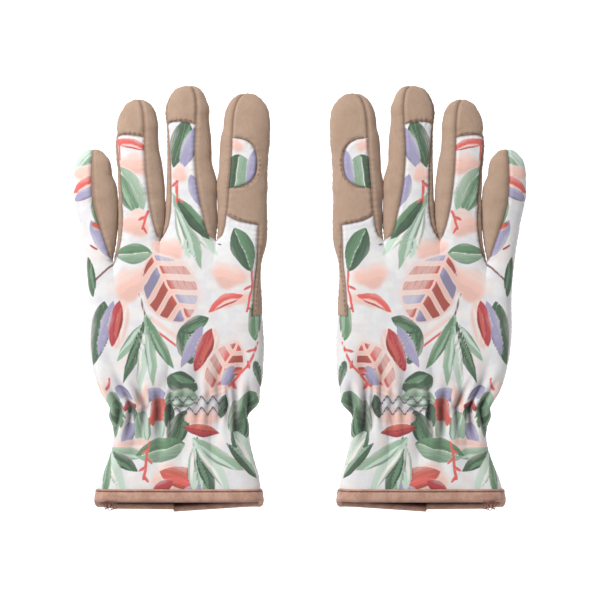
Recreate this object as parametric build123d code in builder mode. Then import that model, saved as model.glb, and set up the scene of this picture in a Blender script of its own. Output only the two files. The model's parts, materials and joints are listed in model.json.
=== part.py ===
"""A pair of gardening gloves, standing fingers up, with the backs of the hands towards -Y.

Each glove is sewn from separate pieces.  The left glove is modelled, and the right glove is its mirror
image about the plane X = 0.  Lengths are in millimetres.  The origin is below the middle of the pair, at
the level of the lowest point of the cuffs.
"""
import os
from math import cos, radians, sin, tan

from build123d import *

# ---------------------------------------------------------------- driving dimensions
wall = 1.3                 # fabric or suede with its lining
mid_y = -3.85              # the middle sheet of the hand, placed so that the pair is centred in depth
hand_depth = 16.0          # outside depth of the hand
side_half = 3.6            # half height of the side walls between back and palm pieces
seam_gap = 0.3             # clearance on each side of a finger hinge

finger_depth = 14.0        # outside depth of a finger at its base
tip_depth = 11.0           # outside depth of a finger below its rounded tip
flex_axis_y = mid_y + 2.0  # finger hinges, a little to the palm side of the middle
flex_half_angle = 38.5     # half of the wedge that a bent finger closes on the palm side

wrist_z = 47.0             # cuff hinge
wrist_gap = 2.5            # from the cuff hinge up to the hand, and down to the cuff
wrist_width = 76.0
wrist_depth = 14.0
wrist_corner = 5.0
cuff_x = -68.8             # middle of the cuff, across
hem_width = 95.6
hem_depth = 23.0
hem_corner = 8.0
hem_back_z = 6.0           # lower edge of the hem on the back of the hand; it is 0 on the palm side
binding_height = 8.5
binding_proud = 0.8

thumb_depth = 10.5
thumb_gap = 1.4            # between the palm and the folded thumb
thumb_half_width = 12.5
thumb_reach = 50.4         # from the thumb's root to where its tip rounds off
thumb_root = (-24.0, 93.0)
thumb_angle = 127.6        # of the folded thumb, from +X towards +Z
thumb_hole = (24.0, 34.0)

elastic_size = (34.0, 0.8, 14.0)
elastic_centre = (-57.0, 61.0)
tack_centre = (-107.0, 4.6)
tack_ring_radius = 3.2
tack_thread_radius = 0.7

# Fingers as level sections, (height, left side, right side), from the base to where the tip rounds off.
finger_sections = {
    "index": [(157.0, -46.6, -19.0), (185.0, -46.0, -18.0), (224.0, -44.4, -16.4)],
    "middle": [(157.0, -76.0, -48.4), (188.0, -76.0, -48.8), (230.0, -76.0, -51.2)],
    "ring": [(157.0, -102.6, -77.4), (188.0, -103.2, -77.8), (222.0, -103.8, -80.8)],
    "little": [(145.6, -122.8, -104.6), (177.0, -128.2, -104.2), (197.0, -127.2, -109.6)],
}
tip_heights = {"index": 238.0, "middle": 243.2, "ring": 234.8, "little": 206.8}
cap_seams = {"middle": 221.0, "ring": 214.5}
window = ((-39.0, -24.0), (185.0, 212.0))   # print window in the index finger's suede: X and Z ranges
bridge_low = 170.0                          # lower edge of the suede below the window
little_side_top = 197.0

# Outline of the hand seen from the back: the little-finger edge, the thumb edge and the finger bases.
hand_low = wrist_z + wrist_gap
little_base = 145.6
fingers_base = 157.0
little_edge = [(-106.3, hand_low), (-113.7, 69.0), (-117.8, 88.0), (-120.2, 112.0), (-122.8, 145.3)]
thumb_edge = [(-30.3, hand_low), (-24.8, 62.0), (-20.4, 90.0), (-22.3, 126.0), (-19.2, 156.7)]
stub_x = -103.6                             # between the little finger and the ring finger's base
far = 300.0

os.makedirs("parts", exist_ok=True)


# ---------------------------------------------------------------- shared shapes
def save_pair(name, part):
    """Write the piece of the left glove, and its mirror image for the right glove."""
    part.label = "left_" + name
    export_step(part, "parts/left_" + name + ".step")
    with BuildPart() as twin:
        mirror(part, about=Plane.YZ)
    twin.part.label = "right_" + name
    export_step(twin.part, "parts/right_" + name + ".step")
    print(name, round(part.volume, 1), len(part.solids()))


def cut_out(part, x=(-far, far), y=(-far, far), z=(-far, far)):
    """The stretch of a part that lies in the given ranges."""
    with BuildPart() as piece:
        add(part)
        with Locations(((x[0] + x[1]) / 2, (y[0] + y[1]) / 2, (z[0] + z[1]) / 2)):
            Box(x[1] - x[0], y[1] - y[0], z[1] - z[0], mode=Mode.INTERSECT)
    return piece.part


def flex_wedge(axis_z, up, x_low, x_high):
    """Prism on the palm side of a finger hinge, with its sharp edge on the hinge."""
    sign = 1 if up else -1
    start = axis_z + sign * seam_gap
    reach = 30.0
    rise = sign * reach * tan(radians(flex_half_angle))
    with BuildPart() as prism:
        with BuildSketch(Plane.YZ.offset(x_low)):
            with BuildLine():
                Polyline((flex_axis_y, start), (flex_axis_y + reach, start + rise),
                         (flex_axis_y + reach, axis_z - sign), (flex_axis_y, axis_z - sign), close=True)
            make_face()
        extrude(amount=x_high - x_low)
    return prism.part


def finger_levels(name, inset):
    """Level sections of a finger up to its rounded tip, (z, left, right, depth), drawn in by inset."""
    sections = finger_sections[name]
    base_z, shoulder_z = sections[0][0], sections[-1][0]
    levels = []
    for z, x_low, x_high in sections:
        share = (z - base_z) / (shoulder_z - base_z)
        depth = finger_depth + share * (tip_depth - finger_depth)
        levels.append((z, x_low + inset, x_high - inset, depth - 2 * inset))
    _, x_low, x_high = sections[-1]
    centre, half_width = (x_low + x_high) / 2, (x_high - x_low) / 2 - inset
    for angle in (35, 60, 80):
        shrink = cos(radians(angle))
        z = shoulder_z + (tip_heights[name] - inset - shoulder_z) * sin(radians(angle))
        reach = half_width * shrink ** 0.8
        levels.append((z, centre - reach, centre + reach, (tip_depth - 2 * inset) * shrink ** 0.6))
    return levels


def finger_shell(name):
    """Hollow finger, open at its base, with a wedge cut away on the palm side so that it can bend."""
    base_z = finger_sections[name][0][0]
    with BuildPart() as shell:
        for z, x_low, x_high, depth in finger_levels(name, 0.0):
            with BuildSketch(Plane(((x_low + x_high) / 2, mid_y, z))):
                RectangleRounded(x_high - x_low, depth, 0.3 * min(x_high - x_low, depth))
        loft(ruled=True)
        for z, x_low, x_high, depth in finger_levels(name, wall):
            with BuildSketch(Plane(((x_low + x_high) / 2, mid_y, z))):
                RectangleRounded(x_high - x_low, depth, 0.3 * min(x_high - x_low, depth))
        loft(ruled=True, mode=Mode.SUBTRACT)
        add(flex_wedge(base_z, True, -far, far), mode=Mode.SUBTRACT)
    return cut_out(shell.part, z=(base_z + seam_gap, far))


def cuff_cone(grow):
    """Flared solid of the cuff from its hinge down past the hem, its outside moved out by grow."""
    with BuildPart() as cone:
        with BuildSketch(Plane((cuff_x, mid_y, wrist_z - wrist_gap))):
            RectangleRounded(wrist_width + 2 * grow, wrist_depth + 2 * grow, wrist_corner + grow)
        with BuildSketch(Plane((cuff_x, mid_y, 0))):
            RectangleRounded(hem_width + 2 * grow, hem_depth + 2 * grow, hem_corner + grow)
        loft()
    return cone.part


def hand_plate(y_low, y_high):
    """Flat plate with the outline of the hand."""
    with BuildPart() as plate:
        with BuildSketch(Plane.XZ.offset(-y_high)):
            with BuildLine():
                Spline(*little_edge)
                Polyline(little_edge[-1], (stub_x, little_edge[-1][1]), (stub_x, thumb_edge[-1][1]),
                         thumb_edge[-1])
                Spline(*thumb_edge)
                Line(thumb_edge[0], little_edge[0])
            make_face()
        extrude(amount=y_high - y_low)
        add(flex_wedge(little_base, False, -far, stub_x), mode=Mode.SUBTRACT)
        add(flex_wedge(fingers_base, False, stub_x, far), mode=Mode.SUBTRACT)
    return plate.part


# ---------------------------------------------------------------- hand
half_hand = hand_depth / 2
back_y = mid_y - half_hand
palm_y = mid_y + half_hand
side_back = mid_y - side_half
side_palm = mid_y + side_half

with BuildPart() as back_panel:
    add(hand_plate(back_y, back_y + wall))
save_pair("back_panel", back_panel.part)

with BuildPart() as palm_panel:
    add(hand_plate(palm_y - wall, palm_y))
    with BuildSketch(Plane.XZ.offset(-palm_y)):
        with Locations((thumb_root[0] - thumb_hole[0] / 4, thumb_root[1])):
            SlotOverall(thumb_hole[1], thumb_hole[0], rotation=90)
    extrude(amount=wall, mode=Mode.SUBTRACT)
save_pair("palm_panel", palm_panel.part)

for name, edge_points, inward in (("outer_side", little_edge, wall), ("thumb_side", thumb_edge, -wall)):
    inner_points = [(x + inward, z) for x, z in edge_points]
    with BuildPart() as side_strip:
        with BuildSketch(Plane.XZ.offset(-(palm_y - wall))):
            with BuildLine():
                Spline(*edge_points)
                Line(edge_points[-1], inner_points[-1])
                Spline(*inner_points)
                Line(inner_points[0], edge_points[0])
            make_face()
        extrude(amount=hand_depth - 2 * wall)
        add(flex_wedge(little_base, False, -far, stub_x), mode=Mode.SUBTRACT)
        add(flex_wedge(fingers_base, False, stub_x, far), mode=Mode.SUBTRACT)
    save_pair(name, side_strip.part)

with BuildPart() as wrist_elastic:
    with Locations((elastic_centre[0], back_y + wall + elastic_size[1] / 2, elastic_centre[1])):
        Box(*elastic_size)
save_pair("wrist_elastic", wrist_elastic.part)

# ---------------------------------------------------------------- index finger
index_shell = finger_shell("index")
index_tip = window[1][1]
index_middle = sum(finger_sections["index"][1][1:]) / 2
index_front = cut_out(index_shell, y=(-far, side_back))

with BuildPart() as index_window:
    add(cut_out(index_front, x=window[0], z=window[1]))
save_pair("index_window", index_window.part)

with BuildPart() as index_back:
    add(cut_out(index_front, z=(0, bridge_low)))
save_pair("index_back", index_back.part)

with BuildPart() as index_wrap:
    add(cut_out(index_shell, z=(index_tip, far)))
    add(cut_out(index_front, z=(bridge_low, window[1][0])))
    add(cut_out(index_front, x=(-far, window[0][0]), z=window[1]))
    add(cut_out(index_front, x=(window[0][1], far), z=window[1]))
    add(cut_out(index_shell, x=(index_middle, far), y=(side_back, side_palm), z=(0, index_tip)))
save_pair("index_wrap", index_wrap.part)

with BuildPart() as index_palm:
    add(cut_out(index_shell, y=(side_palm, far), z=(0, index_tip)))
save_pair("index_palm", index_palm.part)

with BuildPart() as index_fourchette:
    add(cut_out(index_shell, x=(-far, index_middle), y=(side_back, side_palm), z=(0, index_tip)))
save_pair("index_fourchette", index_fourchette.part)

# ---------------------------------------------------------------- middle and ring fingers
for name, cap_z in cap_seams.items():
    shell = finger_shell(name)
    middle_x = sum(finger_sections[name][1][1:]) / 2
    sides = cut_out(shell, y=(side_back, side_palm), z=(0, cap_z))
    pieces = {
        "back": cut_out(shell, y=(-far, side_back), z=(0, cap_z)),
        "palm": cut_out(shell, y=(side_palm, far), z=(0, cap_z)),
        "inner_fourchette": cut_out(sides, x=(middle_x, far)),
        "outer_fourchette": cut_out(sides, x=(-far, middle_x)),
        "cap": cut_out(shell, z=(cap_z, far)),
    }
    for piece_name, solid in pieces.items():
        with BuildPart() as finger_piece:
            add(solid)
        save_pair(name + "_" + piece_name, finger_piece.part)

# ---------------------------------------------------------------- little finger
little_shell = finger_shell("little")
little_middle = sum(finger_sections["little"][1][1:]) / 2
little_inner = (little_middle, far)
little_outer = (-far, little_middle)

with BuildPart() as little_back:
    add(cut_out(little_shell, x=little_inner, y=(-far, side_back), z=(0, little_side_top)))
    add(cut_out(little_shell, x=little_inner, y=(-far, mid_y), z=(little_side_top, far)))
    add(cut_out(little_shell, x=little_outer, y=(-far, mid_y)))
save_pair("little_back", little_back.part)

with BuildPart() as little_palm:
    add(cut_out(little_shell, x=little_inner, y=(side_palm, far), z=(0, little_side_top)))
    add(cut_out(little_shell, x=little_inner, y=(mid_y, far), z=(little_side_top, far)))
    add(cut_out(little_shell, x=little_outer, y=(mid_y, far)))
save_pair("little_palm", little_palm.part)

with BuildPart() as little_fourchette:
    add(cut_out(little_shell, x=little_inner, y=(side_back, side_palm), z=(0, little_side_top)))
save_pair("little_fourchette", little_fourchette.part)

# ---------------------------------------------------------------- thumb, folded over the palm
thumb_inner_y = palm_y + thumb_gap
thumb_outer_y = thumb_inner_y + thumb_depth
thumb_x_dir = (cos(radians(thumb_angle)), 0, sin(radians(thumb_angle)))
# in the thumb's own plane: x along the thumb, y across it, away from the index finger
root_low = (-16.7, 15.5)
root_slope = 1.075         # the hinge line runs this far back in x for each step across in y


def thumb_plane(y):
    """Plane of the thumb's outline at depth y, facing the back of the hand."""
    return Plane((thumb_root[0], y, thumb_root[1]), x_dir=thumb_x_dir, z_dir=(0, -1, 0))


def thumb_outline(inset):
    """Closed outline of the thumb drawn in by inset, except at its root, which lies on the hinge line."""
    half = thumb_half_width - inset
    low_y = root_low[1] - 1.2 * inset
    high = (root_low[0] + root_slope * (root_low[1] + half), -half)
    low = (root_low[0] + root_slope * (root_low[1] - low_y), low_y)
    side_low = Line(high, (thumb_reach, -half))
    tip = ThreePointArc(side_low @ 1, (thumb_reach + half, 0), (thumb_reach, half))
    side_high = Line(tip @ 1, (12.0, half))
    Spline(side_high @ 1, low, tangents=[side_high % 1, (-1, 0.45)])
    Line(low, high)


with BuildPart() as thumb_back:
    with BuildSketch(thumb_plane(thumb_inner_y + wall)):
        with BuildLine():
            thumb_outline(0.0)
        make_face()
    extrude(amount=wall)
save_pair("thumb_back", thumb_back.part)

with BuildPart() as thumb_palm:
    with BuildSketch(thumb_plane(thumb_outer_y)):
        with BuildLine():
            thumb_outline(0.0)
        make_face()
    extrude(amount=wall)
    with BuildSketch(thumb_plane(thumb_outer_y - wall)):
        with BuildLine():
            thumb_outline(0.0)
        make_face()
        with BuildLine():
            thumb_outline(wall)
        make_face(mode=Mode.SUBTRACT)
    extrude(amount=thumb_depth - 2 * wall)
save_pair("thumb_palm", thumb_palm.part)

# ---------------------------------------------------------------- cuff
hem_plane = Plane((cuff_x, mid_y, hem_back_z / 2), z_dir=(0, hem_back_z, hem_depth))
binding_plane = hem_plane.offset(binding_height)

with BuildPart() as cuff_shell:
    add(cuff_cone(0.0))
    add(cuff_cone(-wall), mode=Mode.SUBTRACT)
    split(bisect_by=binding_plane, keep=Keep.TOP)

with BuildPart() as cuff_back:
    add(cut_out(cuff_shell.part, y=(-far, mid_y)))
save_pair("cuff_back", cuff_back.part)

with BuildPart() as cuff_palm:
    add(cut_out(cuff_shell.part, y=(mid_y, far)))
save_pair("cuff_palm", cuff_palm.part)

with BuildPart() as cuff_binding:
    add(cuff_cone(binding_proud))
    add(cuff_cone(-wall - 0.4), mode=Mode.SUBTRACT)
    split(bisect_by=binding_plane, keep=Keep.BOTTOM)
    split(bisect_by=hem_plane, keep=Keep.TOP)
save_pair("cuff_binding", cuff_binding.part)

with BuildPart() as tack_loop:
    hem_front_y = mid_y - hem_depth / 2
    with Locations(Location((tack_centre[0], hem_front_y, tack_centre[1]), (90, 0, 0))):
        Torus(tack_ring_radius, tack_thread_radius)
save_pair("tack_loop", tack_loop.part)
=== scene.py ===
"""Looks of a pair of gardening gloves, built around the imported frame.

Each glove's cloth and suede panels are grids laid over one padded hand surface and sewn along shared seam
lines.  The left glove is worked out in millimetres in its own axes: u runs across the glove from the middle
of the cuff towards the thumb, z is the height, and depth is measured from the middle sheet of the hand
towards the back of the hand.  The right glove is its mirror image.
"""
import json
import math

import bpy
import numpy as np
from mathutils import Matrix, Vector
from mathutils.kdtree import KDTree


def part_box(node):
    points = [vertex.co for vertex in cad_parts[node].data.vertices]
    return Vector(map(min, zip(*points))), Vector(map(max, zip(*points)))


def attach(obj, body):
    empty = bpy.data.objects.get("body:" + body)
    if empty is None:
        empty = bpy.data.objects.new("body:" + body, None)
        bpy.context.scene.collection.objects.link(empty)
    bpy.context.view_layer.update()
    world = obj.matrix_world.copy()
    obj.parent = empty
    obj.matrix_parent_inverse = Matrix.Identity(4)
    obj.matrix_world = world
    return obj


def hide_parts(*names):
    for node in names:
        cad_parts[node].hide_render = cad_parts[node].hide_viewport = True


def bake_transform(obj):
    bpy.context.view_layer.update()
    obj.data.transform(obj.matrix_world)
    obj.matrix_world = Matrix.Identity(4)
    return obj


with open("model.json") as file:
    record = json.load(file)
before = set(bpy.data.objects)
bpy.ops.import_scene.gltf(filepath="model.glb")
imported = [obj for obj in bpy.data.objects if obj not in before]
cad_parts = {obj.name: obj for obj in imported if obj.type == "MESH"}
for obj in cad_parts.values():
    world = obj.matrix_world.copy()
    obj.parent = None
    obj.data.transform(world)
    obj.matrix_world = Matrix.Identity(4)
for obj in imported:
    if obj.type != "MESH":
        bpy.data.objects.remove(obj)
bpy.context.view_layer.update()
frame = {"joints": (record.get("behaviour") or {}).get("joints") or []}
MM = 0.001
pi = math.pi


def box_mm(node):
    """Lowest and highest corner of a CAD node, in millimetres."""
    low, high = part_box(node)
    return np.array(low) / MM, np.array(high) / MM


joints = {joint["name"]: joint for joint in frame["joints"]}
hinge_mm = {name: np.array(joint["pos_m"]) / MM for name, joint in joints.items() if "pos_m" in joint}
binding_low, binding_high = box_mm("left_cuff_binding")
cuff_x = (binding_low[0] + binding_high[0]) / 2
mid_y = hinge_mm["left_cuff_flex"][1]
tip_z = {                  # the seams over the tips pull the cloth in, so it starts a little higher
    "little": box_mm("left_little_back")[1][2] + 0.9,
    "ring": box_mm("left_ring_cap")[1][2] + 0.8,
    "middle": box_mm("left_middle_cap")[1][2],
    "index": box_mm("left_index_wrap")[1][2] + 1.4,
}

# ---------------------------------------------------------------- outline of the glove, in mm
crotch_low = hinge_mm["left_little_flex"][2] - 2.2      # between the little and ring fingers
crotch_high = hinge_mm["left_index_flex"][2] - 1.8      # between the other fingers
section_power = 2.4        # roundness of the fingers' sections

# (height, u) of each edge of each finger's strip, from the hem or its crotch to where its tip rounds off
little_left = [(0, -46.8), (10.5, -46.8), (14, -46.2), (20.8, -44.3), (31, -39.8), (37, -37.8), (45, -37.4),
               (52, -37.6), (58.4, -39.8), (65.3, -43.2), (72, -45.6), (85.8, -48.9), (96, -50.8),
               (123, -51.4), (137, -52.3), (150.8, -54.1), (164, -56.6), (178, -58.7), (186, -59.6),
               (193, -59.6)]
index_right = [(0, 46.0), (8.8, 47.0), (14, 46.3), (20.8, 45.7), (31, 42.9), (41.3, 39.8), (47, 38.6),
               (52, 39.0), (58.4, 41.7), (65.3, 45.1), (72, 46.9), (85.8, 48.2), (96, 48.5), (109, 48.0),
               (123, 46.9), (137, 46.3), (144, 46.9), (151, 48.9), (171, 50.3), (185, 50.8), (205, 51.4),
               (219, 52.5)]
little_right = [(crotch_low, -37.5), (150, -36.2), (160, -35.0), (171, -34.6), (180, -34.8), (186, -35.6),
                (193, -38.4)]
ring_left = [(crotch_low, -37.5), (148, -36.3), (156, -35.1), (171, -34.4), (180, -34.3), (195, -34.7),
             (209, -35.6), (219, -35.2)]
ring_right = [(crotch_high, -10.7), (162, -8.8), (180, -7.8), (195, -9.0), (202, -10.1), (209, -11.3),
              (219, -11.9)]
middle_left = [(crotch_high, -10.7), (162, -8.6), (180, -7.4), (198, -6.8), (219, -7.0), (227, -7.3)]
middle_right = [(crotch_high, 21.2), (162, 21.8), (171, 21.7), (185, 21.1), (192, 20.4), (199, 18.9),
                (212, 18.4), (227, 17.3)]
index_left = [(crotch_high, 21.2), (162, 21.9), (171, 21.9), (185, 22.0), (195, 22.9), (212, 23.5),
              (219, 24.7)]
# (height, u) of the seams on the back, from the crotch up
little_seam = [(crotch_low, -37.5), (152.5, -40.9), (163.9, -44.9), (175.3, -48.3), (189.5, -49.5),
               (206, -49.2)]
ring_inner_seam = [(crotch_high, -10.7), (162, -13.2), (169.6, -15.3), (183.8, -17.6), (198, -18.9),
                   (212, -19.4), (234, -19.4)]
ring_outer_seam = [(crotch_low, -37.5), (150, -34.5), (160, -32.6), (178, -32.4), (198, -34.0),
                   (213, -35.2), (234, -35.1)]
middle_inner_seam = [(crotch_high, 21.2), (158, 17.6), (162, 15.7), (169.6, 13.8), (183.8, 10.9), (201, 9.2),
                     (221, 9.8), (243, 11.4)]
middle_outer_seam = [(crotch_high, -10.7), (162, -6.9), (170, -5.1), (185, -4.6), (205, -5.5),
                     (221, -6.7), (243, -7.1)]
index_seam = [(crotch_high, 21.2), (158, 23.8), (162, 25.4), (169.6, 26.9), (186.7, 28.6), (215, 30.3),
              (238, 30.3)]
# where two strips meet below the crotch, as a share of the width of the hand
share_low_crotch = [(0, 0.22), (crotch_low, 0.163)]
share_ring_middle = [(0, 0.46), (crotch_high, 0.428)]
share_middle_index = [(0, 0.74), (crotch_high, 0.733)]
# half depth of the back and of the palm side
back_depth = [(0, 10.9), (14, 10.2), (30, 8.9), (47, 7.4), (61, 7.6), (80, 8.6), (120, 8.7), (145, 7.9),
              (160, 7.4), (185, 7.1), (210, 6.6), (235, 6.0)]
palm_depth = [(0, 10.9), (14, 10.2), (30, 8.9), (47, 7.2), (61, 7.2), (80, 7.8), (120, 7.8), (145, 7.2),
              (185, 6.8), (210, 6.3), (235, 5.8)]
shoulder_z = {"little": 192.5, "ring": 218.5, "middle": 226.5, "index": 219.0}
cap_z = {"ring": 213.5, "middle": 221.0}
cap_arch = 1.6             # the cap seams rise by this much at the middle of the finger


def curve(knots):
    """Smooth function through (height, value) knots, constant beyond them."""
    heights, values = (np.array(column, float) for column in zip(*knots))
    slopes = np.gradient(values, heights)

    def at(z):
        z = np.clip(z, heights[0], heights[-1])
        i = np.clip(np.searchsorted(heights, z, side="right") - 1, 0, len(heights) - 2)
        step = heights[i + 1] - heights[i]
        t = (z - heights[i]) / step
        return ((1 + 2 * t) * (1 - t) ** 2 * values[i] + t * (1 - t) ** 2 * step * slopes[i]
                + t * t * (3 - 2 * t) * values[i + 1] + t * t * (t - 1) * step * slopes[i + 1])
    return at


def smooth(t):
    """Smoothstep of t between 0 and 1."""
    t = np.clip(t, 0, 1)
    return t * t * (3 - 2 * t)


def signed_power(value, power):
    """A power of the size of a number, with the number's own sign."""
    return np.sign(value) * np.abs(value) ** power


def bell(distance, width):
    """1 at no distance, falling off smoothly."""
    return np.exp(-(distance / width) ** 2)


def unit(vectors):
    """Vectors scaled to length 1."""
    return vectors / np.linalg.norm(vectors, axis=-1, keepdims=True)


def noise(points, size, seed=0):
    """Smooth value noise in [-1, 1] with features of the given size, the same on every run."""
    p = np.asarray(points, float) / size
    cell = np.floor(p).astype(np.int64)
    t = p - cell
    t = t * t * (3 - 2 * t)
    total = 0.0
    for corner in range(8):
        offset = np.array([corner & 1, corner >> 1 & 1, corner >> 2])
        c = cell + offset
        # a number for each corner of the cell, mixed from its place and the seed
        h = (c[..., 0] * 374761393 + c[..., 1] * 668265263 + c[..., 2] * 2147483647 + seed * 1274126177)
        h = h & 0xFFFFFFFF
        h = ((h ^ (h >> 13)) * 1274126177) & 0xFFFFFFFF
        h = (h ^ (h >> 16)) / 0xFFFFFFFF
        weight = np.prod(np.where(offset == 1, t, 1 - t), axis=-1)
        total = total + weight * h
    return 2 * total - 1


little_left_at, index_right_at = curve(little_left), curve(index_right)
back_depth_at, palm_depth_at = curve(back_depth), curve(palm_depth)


def parting(shares):
    """u of a line between two strips below their crotch."""
    share_at = curve(shares)
    return lambda z: little_left_at(z) + share_at(z) * (index_right_at(z) - little_left_at(z))


def edge(crotch, below, above):
    """u of a strip's edge: the parting below the crotch, the finger's side above it."""
    below_at, above_at = parting(below), curve(above)
    shift = above[0][1] - below_at(crotch)
    return lambda z: np.where(z < crotch, below_at(z) + shift * smooth(z / crotch), above_at(z))


# each strip: left edge, right edge, crotch height on each side (None on the outer side)
strips = {
    "little": (little_left_at, edge(crotch_low, share_low_crotch, little_right), None, crotch_low),
    "ring": (edge(crotch_low, share_low_crotch, ring_left),
             edge(crotch_high, share_ring_middle, ring_right), crotch_low, crotch_high),
    "middle": (edge(crotch_high, share_ring_middle, middle_left),
               edge(crotch_high, share_middle_index, middle_right), crotch_high, crotch_high),
    "index": (edge(crotch_high, share_middle_index, index_left), index_right_at, crotch_high, None),
}
valley_length = 26.0       # how far the valleys between the fingers run down the hand


def openness(z, crotch):
    """1 where the finger's side is free, falling to 0 below the crotch, where the strips join."""
    if crotch is None:
        return np.ones_like(z)
    return (1 - np.clip((crotch - z) / valley_length, 0, 1)) ** 1.4


def base_surface(strip, phi, z, side=1):
    """Point (u, depth, z) and outward direction on the unwrinkled glove.

    phi goes round the strip's section: 0 at its thumb-side edge, pi/2 on the back, pi or -pi at its
    other edge and -pi/2 on the palm.  side says which of the two sheets a point on the line between them
    belongs to: 1 is the back and -1 the palm.
    """
    left_at, right_at, left_crotch, right_crotch = strips[strip]
    shoulder = shoulder_z[strip]
    t = np.clip((z - shoulder) / (tip_z[strip] - shoulder), 0, 1)
    dome = np.sqrt(np.maximum(1 - t * t, 0))
    level = np.minimum(z, shoulder)
    left, right = left_at(level), right_at(level)
    half, centre = (right - left) / 2 * dome ** 0.9, (right + left) / 2
    power = section_power
    sine = np.sin(phi)
    share = signed_power(np.cos(phi), 2 / power)
    on_left = share < 0
    free = np.where(on_left, openness(z, left_crotch), openness(z, right_crotch))
    above = np.where(on_left, over_crotch(z, left_crotch), over_crotch(z, right_crotch))
    inner = np.abs(free * share)
    round_off = np.maximum(1 - inner ** power, 0) ** (1 / power)
    u = centre + half * share
    crown = 0.93 + 0.07 * (1 - (u / 50) ** 2)
    facing = np.where(side * sine < -1e-9, -side, side)
    thickness = np.where(facing >= 0, back_depth_at(z), palm_depth_at(z)) * dome ** 0.8 * crown
    depth = facing * thickness * round_off
    across = np.sign(share) * inner ** (power - 1) * free ** 3 / np.maximum(half, 0.5)
    across *= np.maximum(above, 1 - np.abs(share) ** 6)
    outward = facing * round_off ** (power - 1) / np.maximum(thickness, 0.5)
    upward = 0.8 * t / np.maximum(dome, 0.02) ** 2 / (tip_z[strip] - shoulder)
    return np.stack([u, depth, z + 0 * u], -1), unit(np.stack([across, outward, upward + 1e-9], -1))


def over_crotch(z, crotch):
    """0 at and below the crotch, rising to 1 just above it."""
    return np.ones_like(z) if crotch is None else smooth((z - crotch) / 3)


def phi_of(strip, u_at):
    """Section angle, on the back of a strip, of the line whose u at each height is u_at(z)."""
    u_at = curve(u_at) if isinstance(u_at, list) else u_at
    left_at, right_at, *_ = strips[strip]

    def at(z):
        level = np.minimum(z, shoulder_z[strip])
        left, right = left_at(level), right_at(level)
        share = np.clip((u_at(z) - (left + right) / 2) / ((right - left) / 2), -1, 1)
        return np.arccos(signed_power(share, section_power / 2))
    return at


# ---------------------------------------------------------------- folds and wrinkles
elastic_z = box_mm("left_wrist_elastic")[0][2] + 6.6      # where the gathers are tightest
stitch_rows = (elastic_z - 1.8, elastic_z + 4.5)


def ridge(phase):
    """Broad ridges with narrow valleys, in [-1, 1]."""
    return 2 * np.abs(np.cos(phase / 2)) ** 1.15 - 1


def wandering(points):
    """How far (mm) the gathers stray sideways, so that they aren't evenly spaced."""
    return 2.6 * noise(points * [1, 0.3, 0.35], 11, 3)


def stitched(u):
    """1 where the elastic is stitched across the back, falling to 0 beside it."""
    return smooth((u + 7) / 6) * smooth((33 - u) / 5)


def pleats(points):
    """Phase of the deep pleats beside the stitched elastic, and how strong they are there."""
    u, rise = points[..., 0], points[..., 2] - elastic_z
    lean = 0.55 * rise * smooth((-4 - u) / 26) * np.where(rise > 0, 1.0, -0.5)
    strength = (1 - stitched(u)) * np.exp(-np.abs((rise + 2) / 14) ** 3)
    return 2 * pi * (u + lean + wandering(points)) / 7.4, strength


def folds(points):
    """How far the cloth stands out (mm) at base points: gathers at the wrist, flutes and soft dents."""
    u, depth, z = points[..., 0], points[..., 1], points[..., 2]
    back = smooth((depth + 3) / 6)
    rise, wander, sewn = z - elastic_z, wandering(points), stitched(u)
    pinch = sum(bell(z - row, 1.6) for row in stitch_rows) * sewn
    tight = bell(rise, 11)
    strength = 0.45 + 0.55 * smooth(0.5 + noise(points * [1, 0, 0.15], 17, 8))
    fine = (1.5 * (0.45 + 0.55 * sewn) * tight * (1 - 0.65 * pinch) * strength
            * ridge(2 * pi * (u + wander) / 6.2))
    phase, hold = pleats(points)
    loose = 1.9 * hold * ridge(phase)
    above = bell(rise - 15, 12) * ridge(2 * pi * (u * (1 - rise / 170) + 1.6 * wander) / 12.5)
    below = bell(rise + 20, 15) * ridge(2 * pi * (u * (1 + rise / 150) + 1.5 * wander + 4) / 13.5)
    cinch = -1.2 * bell(rise, 7.5) * (0.4 + 0.6 * sewn)
    dents = 0.6 * noise(points, 26, 1) + 0.3 * noise(points, 11, 2)
    slack = 0.35 * smooth((z - 150) / 20) * noise(points * [0.5, 0.5, 1.5], 7.5, 5)
    return ((fine + loose + 1.05 * above + 1.2 * below) * (0.3 + 0.7 * back) + cinch * (0.5 + 0.5 * back)
            + dents + slack)


def shaded(points):
    """How much of the light the folds keep off the cloth at base points, from 0 to 1."""
    depth, z = points[..., 1], points[..., 2]
    near = bell(z - elastic_z, 26) * smooth((depth + 3) / 6)
    phase, hold = pleats(points)
    between_pleats = 0.55 * hold * smooth(0.55 - 0.6 * ridge(phase - 0.5))
    return np.clip(between_pleats + 0.42 * near * smooth(0.3 - 0.55 * folds(points)), 0, 1)


# ---------------------------------------------------------------- seams
print_turn, side_turn = 0.10, 0.35      # how far round the edge, in radians, the print and the side strips go
little_seam_phi = phi_of("little", little_seam)
ring_outer_phi, ring_inner_phi = phi_of("ring", ring_outer_seam), phi_of("ring", ring_inner_seam)
middle_outer_phi, middle_inner_phi = phi_of("middle", middle_outer_seam), phi_of("middle", middle_inner_seam)
index_phi = phi_of("index", index_seam)
wrap_low, bridge_right, bridge_left = 112.5, 164.0, 170.0
window_low, window_high = 185.0, 213.4
wrap_u = curve([(wrap_low, 42.2), (130, 43.2), (140, 44.4), (bridge_right, 45.3), (window_low, 47.3),
                (window_high, 48.3), (232, 47.0)])
wrap_phi = phi_of("index", wrap_u)


def window_u(z):
    """Thumb-side edge of the print window in the index finger, a D lying on its back."""
    middle, half = (window_low + window_high) / 2, (window_high - window_low) / 2
    share = np.clip(np.abs(z - middle) / half, 0, 1)
    seam = curve(index_seam)(z)
    return seam + (44.6 - seam) * (1 - share ** 2.6) ** (1 / 2.4)


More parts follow.
